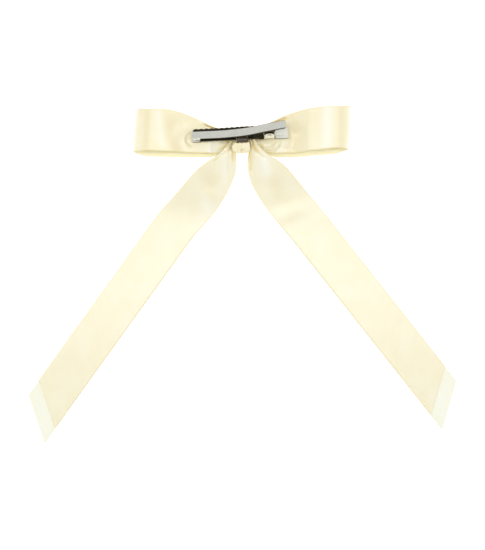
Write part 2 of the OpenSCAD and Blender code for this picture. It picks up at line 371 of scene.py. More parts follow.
@dataclass(frozen=True)
class Satin:
    """Woven satin ribbon: floats that run along it, with a firm selvedge, and light and shade
    painted into its colour from a per-point attribute.
    """

    name: str
    face: Colour = (0.93, 0.872, 0.662)
    shade: Colour = (0.91, 0.838, 0.598)
    edge: Colour = (0.86, 0.75, 0.45)
    # The next three colours are painted light and shade: a painted highlight, painted shade, and
    # deeper golden painted shade in creases.
    painted_highlight: Colour = (0.965, 0.945, 0.82)
    painted_shade: Colour = (0.84, 0.76, 0.5)
    crease: Colour = (0.86, 0.66, 0.27)
    width: float = 25.0
    roughness: float = 0.3
    specular: float = 0.8
    sheen: float = 0.08
    through: float = 0.3
    spread: Colour = (1.0, 0.95, 0.8)
    float_pitch: float = 0.22
    pick_pitch: float = 0.462
    pick_slant: float = 4.0
    slub_scale: tuple[float, float] = (0.22, 3.2)
    cloud_scale: float = 0.07
    selvedge: float = 0.75
    relief: float = 0.03
    depth: float = 0.4

    def make(self) -> bpy.types.Material:
        """Build the material.

        Returns:
            The material.
        """
        g = Graph(self.name)
        across, along = g.flat_point()
        slub = g.noise(
            g.join(across * self.slub_scale[0], along * self.slub_scale[1]), 1.0, 3.0
        )
        cloud = g.noise(g.join(across, along), self.cloud_scale, 2.0)
        floats = (across * (2 * math.pi / self.float_pitch)).wave()
        picks = (along * (2 * math.pi / self.pick_pitch) + across * self.pick_slant).wave()
        rim = across.lowest(self.width - across)
        border = 1.0 - rim.fades(self.selvedge * 0.35, self.selvedge)
        sealed = g.node("ShaderNodeAttribute", {"attribute_name": SEALED}, output="Fac")
        body = g.blend((cloud * 0.7 + slub * 0.3).fades(0.35, 0.7), self.shade, self.face)
        # Painted light and shade: the attribute blends the colour towards the painted highlight
        # above 0, towards painted shade below 0, and towards the crease's painted shade below -1.
        tone = g.node("ShaderNodeAttribute", {"attribute_name": PAINTED_LIGHT}, output="Fac")
        body = g.blend(tone.held(), body, self.painted_highlight)
        body = g.blend((tone * -1.0).held(), body, self.painted_shade)
        body = g.blend((tone * -1.0 - 1.0).held(), body, self.crease)
        edged = g.blend((border * 0.75).highest(sealed * 0.9), body, self.edge)
        height = floats * 0.25 + picks * 0.2 + slub * 0.6 + border * 1.2
        return g.finish(
            {
                "Base Color": edged,
                "Roughness": slub * 0.12 + (self.roughness - 0.06) + border * 0.12,
                "Normal": g.bump(height, 0.2, self.relief),
                "Subsurface Weight": self.through,
                "Subsurface Radius": self.spread,
                "Subsurface Scale": self.depth * MM,
                "Sheen Weight": self.sheen,
                "Sheen Roughness": 0.35,
                "Specular IOR Level": self.specular,
            }
        )


@dataclass(frozen=True)
class PlatedSteel:
    """Bright nickel plate over stamped sheet, with fine rolling marks."""

    name: str = "plated_steel"
    bright: Colour = (0.875, 0.88, 0.805)
    dull: Colour = (0.8, 0.805, 0.73)
    roughness: float = 0.27
    metallic: float = 1.0

    def make(self) -> bpy.types.Material:
        """Build the material.

        Returns:
            The material.
        """
        g = Graph(self.name)
        grain = g.noise(g.object_point((0.3, 5.0, 5.0)), 1.0, 3.0)
        haze = g.noise(g.object_point(), 0.3, 3.0)
        pits = g.noise(g.object_point(), 2.4, 2.0).fades(0.62, 0.8)
        tone = g.blend((haze * 0.8 + grain * 0.2).fades(0.3, 0.75), self.dull, self.bright)
        worn = g.blend(pits * 0.5, tone, self.dull)
        return g.finish(
            {
                "Base Color": worn,
                "Metallic": self.metallic,
                "Roughness": grain * 0.08 + haze * 0.08 + (self.roughness - 0.08),
                "Normal": g.bump(grain * 0.3 + pits * -0.25, 0.12, 0.02),
            }
        )


@dataclass(frozen=True)
class CutSteelAndPaintedShade:
    """The sheared edges of the stampings, dull and darker than the plate; also painted shade on
    the faces between the jaws and on the upper jaw's lips and ears.
    """

    name: str = "cut_steel_and_painted_shade"
    bright: Colour = (0.09, 0.078, 0.05)
    dull: Colour = (0.045, 0.038, 0.022)

    def make(self) -> bpy.types.Material:
        """Build the material.

        Returns:
            The material.
        """
        g = Graph(self.name)
        shear = g.noise(g.object_point((6.0, 6.0, 1.5)), 1.0, 2.0)
        return g.finish(
            {
                "Base Color": g.blend(shear.fades(0.35, 0.65), self.dull, self.bright),
                "Metallic": 1.0,
                "Roughness": shear * 0.2 + 0.35,
                "Normal": g.bump(shear, 0.4, 0.03),
            }
        )


@dataclass(frozen=True)
class SpringWire:
    """Drawn spring wire, greyer than the plate, with faint draw marks."""

    name: str = "spring_wire"
    bright: Colour = (0.85, 0.85, 0.8)
    dull: Colour = (0.68, 0.68, 0.63)

    def make(self) -> bpy.types.Material:
        """Build the material.

        Returns:
            The material.
        """
        g = Graph(self.name)
        marks = g.noise(g.object_point((2.0, 2.0, 2.0)), 1.5, 3.0)
        return g.finish(
            {
                "Base Color": g.blend(marks.fades(0.3, 0.7), self.dull, self.bright),
                "Metallic": 1.0,
                "Roughness": marks * 0.2 + 0.25,
                "Normal": g.bump(marks, 0.3, 0.02),
            }
        )


@dataclass(frozen=True)
class Thread:
    """Ply-twisted sewing thread."""

    name: str = "thread"
    light: Colour = (0.88, 0.82, 0.66)
    dark: Colour = (0.72, 0.63, 0.44)
    twist: tuple[float, float] = (12.0, 9.0)

    def make(self) -> bpy.types.Material:
        """Build the material.

        Returns:
            The material.
        """
        g = Graph(self.name)
        across, along = g.flat_point()
        ply = (along * self.twist[1] + across * self.twist[0]).wave() * 0.5 + 0.5
        fuzz = g.noise(g.object_point(), 6.0, 3.0)
        return g.finish(
            {
                "Base Color": g.blend(ply * 0.7 + fuzz * 0.3, self.dark, self.light),
                "Roughness": fuzz * 0.2 + 0.6,
                "Normal": g.bump(ply + fuzz * 0.4, 0.6, 0.05),
                "Sheen Weight": 0.2,
            }
        )


@dataclass(frozen=True)
class HotGlue:
    """Cloudy hot-melt glue."""

    name: str = "hot_glue"
    clear: Colour = (0.86, 0.83, 0.72)
    cloudy: Colour = (0.92, 0.9, 0.83)

    def make(self) -> bpy.types.Material:
        """Build the material.

        Returns:
            The material.
        """
        g = Graph(self.name)
        cloud = g.noise(g.object_point(), 0.6, 3.0)
        return g.finish(
            {
                "Base Color": g.blend(cloud.fades(0.35, 0.65), self.clear, self.cloudy),
                "Roughness": cloud * 0.15 + 0.2,
                "Normal": g.bump(cloud, 0.4, 0.15),
                "Coat Weight": 0.3,
            }
        )


@dataclass(frozen=True)
class Backdrop:
    """Seamless white paper."""

    name: str = "paper"
    colour: Colour = (0.96, 0.96, 0.96)
    bright: Colour = (0.97, 0.97, 0.97)
    glow: float = 0.45

    def make(self) -> bpy.types.Material:
        """Build the material.

        Returns:
            The material.
        """
        g = Graph(self.name)
        tooth = g.noise(g.object_point(), 0.8, 2.0)
        return g.finish(
            {
                "Base Color": g.blend(tooth, self.colour, self.bright),
                "Roughness": 0.9,
                "Specular IOR Level": 0.1,
                "Emission Color": (1.0, 1.0, 1.0, 1.0),
                "Emission Strength": self.glow,
            }
        )


@dataclass(frozen=True)
class Finishes:
    """Every finished material of the bow."""

    satin: bpy.types.Material
    satin_inside: bpy.types.Material
    satin_single: bpy.types.Material
    satin_knot_painted_light_and_shadow: bpy.types.Material
    steel: bpy.types.Material
    cut_steel_and_painted_shade: bpy.types.Material
    steel_painted_lighter: bpy.types.Material
    wire: bpy.types.Material
    thread: bpy.types.Material
    glue: bpy.types.Material


def mix_finishes() -> Finishes:
    """Make the materials once.

    Returns:
        The materials, by the piece they are for.
    """
    return Finishes(
        satin=Satin("satin_ribbon").make(),
        satin_inside=Satin(
            "satin_wrong_side",
            face=(0.945, 0.9, 0.7),
            shade=(0.93, 0.87, 0.64),
            roughness=0.5,
            specular=0.4,
        ).make(),
        satin_single=Satin(
            "satin_single_layer",
            face=(0.9, 0.905, 0.8),
            shade=(0.89, 0.89, 0.765),
            edge=(0.84, 0.82, 0.62),
            roughness=0.5,
            specular=0.4,
        ).make(),
        # The knot's satin is painted a little lighter than the loops' to make up for the shade it
        # sits in, with darker painted shade and a near-black painted shadow where the jaws cover
        # it.
        satin_knot_painted_light_and_shadow=Satin(
            "satin_knot_painted_light_and_shadow",
            face=(0.95, 0.885, 0.67),
            shade=(0.93, 0.84, 0.57),
            painted_shade=(0.6, 0.47, 0.2),
            crease=(0.04, 0.028, 0.01),
            width=NO_SELVEDGE,
        ).make(),
        steel=PlatedSteel().make(),
        cut_steel_and_painted_shade=CutSteelAndPaintedShade().make(),
        # A lighter, less metallic copy of the plate for the nose and the tail plate: painted
        # light against the shade and dark reflections there.
        steel_painted_lighter=PlatedSteel(
            "plated_steel_painted_lighter",
            bright=(0.95, 0.95, 0.87),
            dull=(0.9, 0.9, 0.82),
            roughness=0.45,
            metallic=0.5,
        ).make(),
        wire=SpringWire().make(),
        thread=Thread().make(),
        glue=HotGlue().make(),
    )


# ---------------------------------------------------------------- making meshes


def place_object(name: str, mesh: bpy.types.Mesh) -> bpy.types.Object:
    """Put a mesh into the scene.

    Args:
        name: The object's name.
        mesh: Its mesh.

    Returns:
        The object.
    """
    made = bpy.data.objects.new(name, mesh)
    bpy.context.collection.objects.link(made)
    return made


def close_mesh(name: str, bm: bmesh.types.BMesh) -> bpy.types.Object:
    """Put a built-up mesh into the scene and free it.

    Args:
        name: The object's name.
        bm: The mesh.

    Returns:
        The object.
    """
    mesh = bpy.data.meshes.new(name)
    bm.to_mesh(mesh)
    bm.free()
    return place_object(name, mesh)


def shaped_grid(
    name: str,
    rows: int,
    columns: int,
    surface: Callable[[Array, Array], Array],
    flat: tuple[float, float],
    joined: bool = False,
    relax: int = 0,
    sealed_rows: bool = False,
    tone: Callable[[Array, Array], Array] | None = None,
) -> bpy.types.Object:
    """Lay a flat grid onto a surface.

    Args:
        name: The object's name.
        rows: Steps along the sheet.
        columns: Steps across it.
        surface: Takes shares along and across, and returns points in millimetres.
        flat: The sheet's flat width and length, in millimetres.
        joined: Whether the last row meets the first.
        relax: Passes of smoothing.
        sealed_rows: Whether the last row is a sealed cut.
        tone: Takes the points and the shares along, and returns how much light and shade is
            painted on the satin.

    Returns:
        The object, one face thick.
    """
    bm = bmesh.new()
    bmesh.ops.create_grid(bm, x_segments=columns, y_segments=rows, size=1.0)
    bm.verts.ensure_lookup_table()
    spots = np.array([v.co for v in bm.verts], float)
    across, along = (spots[:, 0] + 1) / 2, (spots[:, 1] + 1) / 2
    uv = bm.loops.layers.uv.new(FLAT_UV)
    seal = bm.verts.layers.float.new(SEALED)
    painted_layer = bm.verts.layers.float.new(PAINTED_LIGHT)
    for f in bm.faces:
        for loop in f.loops:
            i = loop.vert.index
            loop[uv].uv = (across[i] * flat[0] / FLAT_UV_MM, along[i] * flat[1] / FLAT_UV_MM)
    places = surface(along, across)
    # Painted light and shade for each point.
    painted_shading = tone(places, along) if tone else np.zeros(len(along))
    last_row = 1 - 0.4 / rows
    for v, co, share, light in zip(bm.verts, places * MM, along, painted_shading):
        v.co = co
        v[painted_layer] = light
        v[seal] = float(sealed_rows and share > last_row)
    inner = [v for v in bm.verts if not v.is_boundary]
    for _ in range(relax):
        bmesh.ops.smooth_vert(
            bm, verts=inner, factor=0.5, use_axis_x=True, use_axis_y=True, use_axis_z=True
        )
    if joined:
        bmesh.ops.remove_doubles(bm, verts=bm.verts, dist=1e-6)
    bmesh.ops.recalc_face_normals(bm, faces=bm.faces)
    return close_mesh(name, bm)


def face_towards(
    made: bpy.types.Object, columns: int, outward: Callable[[Vector, Vector], bool]
) -> None:
    """Turn every face round if the sheet's middle face doesn't look outward.

    Args:
        made: The sheet.
        columns: Faces across it.
        outward: Takes a face's centre and normal, and tells if it looks outward.
    """
    middle = made.data.polygons[len(made.data.polygons) // 2 + columns // 2]
    if not outward(middle.center, middle.normal):
        made.data.flip_normals()


def thicken(
    made: bpy.types.Object, thickness: float, back_slot: int = 0, rim_slot: int = 0
) -> None:
    """Give a sheet its thickness and make it final.

    Args:
        made: The sheet.
        thickness: In millimetres.
        back_slot: Material slots to count on from the face's for the back.
        rim_slot: Material slots to count on from the face's for the cut edge.
    """
    solid = made.modifiers.new("thickness", "SOLIDIFY")
    solid.thickness = thickness * MM
    solid.offset = 0.0
    solid.use_even_offset = False
    solid.material_offset = back_slot
    solid.material_offset_rim = rim_slot
    settle(made)


def settle(made: bpy.types.Object) -> None:
    """Apply a piece's modifiers to its mesh.

    Args:
        made: The piece.
    """
    graph = bpy.context.evaluated_depsgraph_get()
    final = bpy.data.meshes.new_from_object(made.evaluated_get(graph))
    made.modifiers.clear()
    old, made.data = made.data, final
    bpy.data.meshes.remove(old)


def smooth(made: bpy.types.Object, angle: float = CREASE_ANGLE) -> None:
    """Shade smooth, with creases sharper than angle kept."""
    made.data.shade_smooth()
    made.data.set_sharp_from_angle(angle=math.radians(angle))


def dress(made: bpy.types.Object, *materials: bpy.types.Material) -> None:
    """Give a piece its materials."""
    made.data.materials.clear()
    for m in materials:
        made.data.materials.append(m)


def tube(
    name: str, path: Array, radius: float, sides: int = 3, closed: bool = False
) -> bpy.types.Object:
    """Round wire along a path.

    Args:
        name: The object's name.
        path: Points in millimetres.
        radius: In millimetres.
        sides: How finely round it is.
        closed: Whether its ends meet.

    Returns:
        The wire as a mesh.
    """
    line = bpy.data.curves.new(name, "CURVE")
    line.dimensions = "3D"
    line.bevel_depth = radius * MM
    line.bevel_resolution = sides
    line.use_fill_caps = True
    spline = line.splines.new("POLY")
    spline.points.add(len(path) - 1)
    for point, co in zip(spline.points, path):
        point.co = (*(co * MM), 1.0)
    spline.use_cyclic_u = closed
    holder = bpy.data.objects.new(name, line)
    bpy.context.collection.objects.link(holder)
    bpy.context.view_layer.update()
    graph = bpy.context.evaluated_depsgraph_get()
    mesh = bpy.data.meshes.new_from_object(holder.evaluated_get(graph))
    bpy.data.objects.remove(holder)
    mesh.name = name
    for layer in mesh.uv_layers:
        layer.name = FLAT_UV
    return place_object(name, mesh)


def mark_faces(
    made: bpy.types.Object, pose: "ClipPose", slot: int, marked: Callable[[Array], Array]
) -> None:
    """Give some of a stamping's faces another material slot.

    Args:
        made: The stamping, one face thick.
        pose: The clip's place.
        slot: The material slot.
        marked: Takes the faces' centres in the clip's frame, and tells which to mark.
    """
    centres = np.array([f.center for f in made.data.polygons]) / MM
    for face, is_marked in zip(made.data.polygons, marked(pose.local(centres))):
        if is_marked:
            face.material_index = slot


def attach(made: bpy.types.Object, body: Body, slot: str, *nodes: str) -> bpy.types.Object:
    """Fix a piece to its body, and hide the CAD nodes it stands for.

    Args:
        made: The piece.
        body: What it moves with.
        slot: Not used.
        nodes: The CAD nodes it stands for.

    Returns:
        The piece.
    """
    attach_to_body(made, body.value)
    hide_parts(*nodes)
    log.info("%s: %d faces, stands for %s", made.name, len(made.data.polygons), ", ".join(nodes))
    return made


# ---------------------------------------------------------------- the knot's stack


@dataclass(frozen=True)
class Gather:
    """How the ribbons are pleated and stacked inside the knot, in millimetres."""

    width: float = 10.8
    pleats: float = 3.5
    depth: float = 0.9
    first: float = 2.5
    pitch: float = 1.1
    lap: float = 1.6
    straight: float = 4.0

    def level(self, layer: int) -> float:
        """Height of one layer of the stack."""
        return self.first + layer * self.pitch

    def pleat(self, across: Array) -> Array:
        """Height of the pleats across the ribbon, from -1 to 1."""
        return np.cos(2 * math.pi * self.pleats * across)


# ---------------------------------------------------------------- folds


@dataclass(frozen=True)
class Fold:
    """A soft ridge or valley in a ribbon, along a line seen from above; also a band of painted
    light or shade, with its height read as how much is painted.
    """

    start: tuple[float, float]
    end: tuple[float, float]
    rise: float
    spread: float
    end_spread: float = 1.6

    def height(self, x: Array, y: Array) -> Array:
        """How far the ribbon is lifted.

        Args:
            x: Places across the bow, in millimetres.
            y: Places up the bow, in millimetres.

        Returns:
            Heights in millimetres.
        """
        (x0, y0), (x1, y1) = self.start, self.end
        dx, dy = x1 - x0, y1 - y0
        length = math.hypot(dx, dy)
        share = ((x - x0) * dx + (y - y0) * dy) / length**2
        off = ((x - x0) * dy - (y - y0) * dx) / length
        past = np.maximum(np.maximum(-share, share - 1), 0) * length
        return self.rise * bell(off, self.spread) * bell(past, self.spread * self.end_spread)


@dataclass(frozen=True)
class Ring:
    """A ridge or valley that runs part of the way round where the clip presses; also a ring of
    painted light or shade there.
    """

    centre: tuple[float, float]
    radius: float
    facing: float
    rise: float
    spread: float
    half_turn: float = 95.0
    fading: float = 40.0

    def height(self, x: Array, y: Array) -> Array:
        """How far the ribbon is lifted.

        Args:
            x: Places across the bow, in millimetres.
            y: Places up the bow, in millimetres.

        Returns:
            Heights in millimetres.
        """
        dx, dy = x - self.centre[0], y - self.centre[1]
        turn = np.arctan2(dy, dx) - math.radians(self.facing)
        turn = np.abs((turn + math.pi) % (2 * math.pi) - math.pi)
        fade_from = math.radians(self.half_turn - self.fading)
        fade = 1 - ease((turn - fade_from) / math.radians(self.fading))
        return self.rise * fade * bell(np.hypot(dx, dy) - self.radius, self.spread)


def relief(folds: Sequence[Fold | Ring], x: Array, y: Array) -> Array:
    """Sum of several folds: a height, or how much light and shade is painted on the satin."""
    return sum(fold.height(x, y) for fold in folds)


# ---------------------------------------------------------------- ribbon pieces


def finish_ribbon(
    made: bpy.types.Object,
    node: str,
    thickness: float,
    face: bpy.types.Material,
    back: bpy.types.Material,
) -> None:
    """Give a ribbon its two faces and its thickness, and fix it to the bow.

    Args:
        made: The ribbon, one face thick.
        node: The CAD node it stands for.
        thickness: In millimetres.
        face: The satin of the side that its faces look out of.
        back: The satin of the other side.
    """
    dress(made, face, back)
    thicken(made, thickness, back_slot=1)
    smooth(made)
    attach(made, Body.BOW, "satin_ribbon", node)


@dataclass
class Loop:
    """One loop of the bow: a strip folded back on itself, gathered at both ends."""

    side: Side
    gather: Gather
    reach: float
    rise: float
    early: float
    front_layer: int
    back_layer: int
    lean: float
    folds: Sequence[Fold | Ring]
    painted_shading: Sequence[Fold | Ring]
    width: float = 25.0
    height: float = 17.4
    sag: float = 9.0
    end_rise: float = 0.85
    low_edges: tuple[float, float] = (-0.45, 0.8)
    turn_share: float = 0.5
    thickness: float = 0.3
    length: float = 136.0
    rows: int = 300
    columns: int = 72

    def profile(self) -> SmoothPath:
        """Draw the loop's side view.

        Returns:
            Distance from the knot and height, from the front end round to the back end.
        """
        g, low = self.gather, self.thickness / 2
        front, back = g.level(self.front_layer), g.level(self.back_layer)
        r, h = self.reach, self.height
        return SmoothPath(
            [
                (-g.lap, front), (1.5, front), (4.5, front), (12, 1.5), (21, low + 0.15),
                (33, low), (46, low), (r - 7.3, 0.9), (r - 1.3, 5), (r, 10.5),
                (r - 2.6, 15.2), (r - 8.3, h), (r - 12, h - 0.15), (r - 16, h - 0.9),
                (r - 20, h - 1.5), (r - 24, h - 2.0), (36, 14.0), (30, 11.9),
                (21, 10.1), (13, 7.6), (4.5, back), (1.5, back), (-g.lap, back),
            ]
        )

    def top(self, reach: Array) -> Array:
        """Draw the upper edge in the plane of the bow.

        Args:
            reach: Distances from the knot.

        Returns:
            Places up the bow.
        """
        e = reach - self.gather.straight
        slow = ease(e / 43)
        quick = 1 - (1 - np.clip(e / 46, 0, 1)) ** 1.9
        return mix(self.gather.width / 2, self.rise, mix(slow, quick, self.early))

    def bottom(self, reach: Array) -> Array:
        """Draw the lower edge in the plane of the bow.

        Args:
            reach: Distances from the knot.

        Returns:
            Places up the bow.
        """
        half = self.gather.width / 2
        near = -half - (self.sag - half) * ease((reach - self.gather.straight) / 17)
        return mix(near, self.rise - self.width, ease((reach - 25) / 35))

    def surface(self, along: Array, across: Array) -> Array:
        """Place every point of the strip.

        Args:
            along: Shares along the strip, from its front end.
            across: Shares across it, from its lower edge.

        Returns:
            Points in millimetres.
        """
        g = self.gather
        side = self.side.value
        line = self.profile().at(along)
        reach, height = line[:, 0], line[:, 1].copy()
        out = np.maximum(reach, 0)
        on_back = self.on_back(along)
        y = mix(self.bottom(out), self.top(out), across)
        y += self.end_rise * ease((out - self.reach + 8) / 8)
        apart = ease((out - 12) / 10) * (1 - ease((out - self.reach + 5) / 5))
        y += apart * mix(*self.low_edges, on_back) * (1 - across)
        x = side * (reach + self.lean * (0.5 - across) * ease((out - 35) / 25))
        gathered = 1 - ease((out - g.straight) / 14)
        height += g.depth * gathered * g.pleat(across)
        height += on_back * relief(self.folds, x, y)
        rolled = self.rolled_edge(out, across, on_back)
        y = y - rolled * 0.8
        height = height + rolled * 0.5
        return np.stack([x, y, np.maximum(height, self.thickness / 2)], axis=1)

    def on_back(self, along: Array) -> Array:
        """Whether each place is on the side towards the clip, from 0 to 1."""
        return ease((along - self.turn_share) / 0.06)

    def tone(self, places: Array, along: Array) -> Array:
        """Painted light and shade of the satin, on the side towards the clip only."""
        return relief(self.painted_shading, places[:, 0], places[:, 1]) * self.on_back(along)

    def rolled_edge(self, out: Array, across: Array, on_back: Array) -> Array:
        """Roll the upper edge over near the knot.

        Args:
            out: Distances from the knot.
            across: Shares across the strip, from its lower edge.
            on_back: Whether each place is on the side towards the clip.

        Returns:
            How far each place is rolled, from 0 to 1.
        """
        zone = ease((out - 7) / 4) * (1 - ease((out - 20) / 8))
        return on_back * zone * ease((across - 0.88) / 0.12)

    def build(self, finishes: Finishes) -> bpy.types.Object:
        """Make and dress the loop.

        Args:
            finishes: The materials.

        Returns:
            The loop.
        """
        node = f"{self.side.name.lower()}_loop"
        made = shaped_grid(
            f"{node}_ribbon", self.rows, self.columns, self.surface,
            (self.width, self.length), relax=4, tone=self.tone,
        )
        face_towards(made, self.columns, lambda c, n: n.x * self.side.value > 0)
        finish_ribbon(made, node, self.thickness, finishes.satin, finishes.satin_inside)
        self.width * MM
        return made


@dataclass
class Tail:
    """One strip of a doubled tail, from the knot to its slanted cut end."""

    side: Side
    layer: Layer
    gather: Gather
    splay: float
    short_end: float
    inner_line: float
    inner: Sequence[Place]
    outer: Sequence[Place]
    folds: Sequence[Fold]
    painted_shading: Sequence[Fold]
    slant: float = 18.0
    width: float = 25.0
    thickness: float = 0.3
    gap: float = 0.25
    bend: float = 66.0
    run_in: float = 14.0
    curved: float = 0.34
    rows: int = 320
    columns: int = 56

    @property
    def lift(self) -> float:
        """How far the strip lies over the front strip when flat."""
        return 0.0 if self.layer is Layer.FRONT else self.thickness + self.gap

    def edge(
        self, points: Sequence[Place], line: float, end: float
    ) -> tuple[SmoothPath, float, Array, Array]:
        """Draw one edge of the strip.

        Args:
            points: Its points near the knot.
            line: Its distance inward of the tail's line from the knot.
            end: How far along that line it ends.

        Returns:
            A path for its bent part, the share of the path where it turns straight, and the
            straight part's two ends.
        """
        a = math.radians(self.splay)
        s = self.side.value
        along = np.array([s * math.sin(a), -math.cos(a)])
        inward = np.array([-s * math.cos(a), -math.sin(a)])
        low = self.thickness / 2
        start = along * self.bend + inward * line
        ahead = along * (self.bend + self.run_in) + inward * line
        stop = along * end + inward * line
        path = SmoothPath([*points, (*start, low), (*ahead, low)])
        share = path.knots[len(points)] / path.knots[-1]
        return path, share, start, stop

    def surface(self, along: Array, across: Array) -> Array:
        """Place every point of the strip.

        Args:
            along: Shares along the strip, from the knot.
            across: Shares across it, from its inner edge.

        Returns:
            Points in millimetres.
        """
        g = self.gather
        curved = self.curved
        inner = self.edge(self.inner, self.inner_line, self.short_end + self.slant)
        outer = self.edge(self.outer, self.inner_line - self.width, self.short_end)
        near = np.clip(along / curved, 0, 1)
        far = np.clip((along - curved) / (1 - curved), 0, 1)
        sides = []
        for path, share, start, stop in (inner, outer):
            bent = path.at(near * share)
            flat = mix(start[None], stop[None], far[:, None])
            level = np.full(len(along), self.thickness / 2)
            straight = np.column_stack([flat, level])
            sides.append(np.where((along <= curved)[:, None], bent, straight))
        place = mix(sides[0], sides[1], across[:, None])
        lift = mix(2 * g.pitch if self.layer is Layer.BACK else 0.0, self.lift, ease(near * 1.15))
        gathered = g.depth * (1 - ease((near - 0.08) / 0.26))
        height = place[:, 2] + lift + gathered * g.pleat(across)
        height += relief(self.folds, place[:, 0], place[:, 1])
        rest = self.thickness / 2 + self.lift
        place[:, 2] = np.maximum(height, rest)
        return place

    def tone(self, places: Array, along: Array) -> Array:
        """Painted light and shade of the satin, by each point's place in the bow."""
        return relief(self.painted_shading, places[:, 0], places[:, 1]) * np.ones(len(along))

    def build(self, finishes: Finishes) -> bpy.types.Object:
        """Make and dress the strip.

        Args:
            finishes: The materials.

        Returns:
            The strip.
        """
        node = f"{self.side.name.lower()}_tail_{self.layer.value}"
        length = self.short_end + self.slant
        made = shaped_grid(
            f"{node}_ribbon", self.rows, self.columns, self.surface, (self.width, length),
            relax=3, sealed_rows=True, tone=self.tone,
        )
        upward = self.layer is Layer.BACK
        face_towards(made, self.columns, lambda c, n: (n.z > 0) == upward)
        below = finishes.satin_inside if upward else finishes.satin_single
        finish_ribbon(made, node, self.thickness, finishes.satin, below)
        area = self.width * (self.short_end + self.slant / 2)
        self.width * MM
        length * MM
        area * MM * MM
        return made


@dataclass(frozen=True)
class ClipPose:
    """Where the clip sits: its pivot, its turn and its lean, in millimetres and degrees."""

    pivot: tuple[float, float, float] = (15.0, 2.3, 13.8)
    yaw: float = 2.6
    lean: float = 24.0

    def matrix(self) -> Matrix:
        """Place the clip's own frame in the bow's.

        Returns:
            The change of frame, in millimetres.
        """
        turn = Matrix.Rotation(math.radians(self.yaw), 4, "Z")
        tip = Matrix.Rotation(math.radians(-self.lean), 4, "X")
        return Matrix.Translation(self.pivot) @ turn @ tip

    def points(self, local: Array) -> Array:
        """Carry points from the clip's frame to the bow's."""
        m = np.array(self.matrix())
        return local @ m[:3, :3].T + m[:3, 3]

    def local(self, points: Array) -> Array:
        """Carry points from the bow's frame to the clip's."""
        m = np.array(self.matrix())
        return (points - m[:3, 3]) @ m[:3, :3]

    def section(self, across: float, up: float) -> tuple[float, float]:
        """Place a point of the clip's cross-section at the knot.

        Args:
            across: Millimetres across the clip.
            up: Millimetres up from its floor.

        Returns:
            The point's Y and Z in the bow's frame.
        """
        c, s = math.cos(math.radians(self.lean)), math.sin(math.radians(self.lean))
        x, y, z = self.pivot
        return (
            y - x * math.tan(math.radians(self.yaw)) + across * c + up * s,
            z - across * s + up * c,
        )


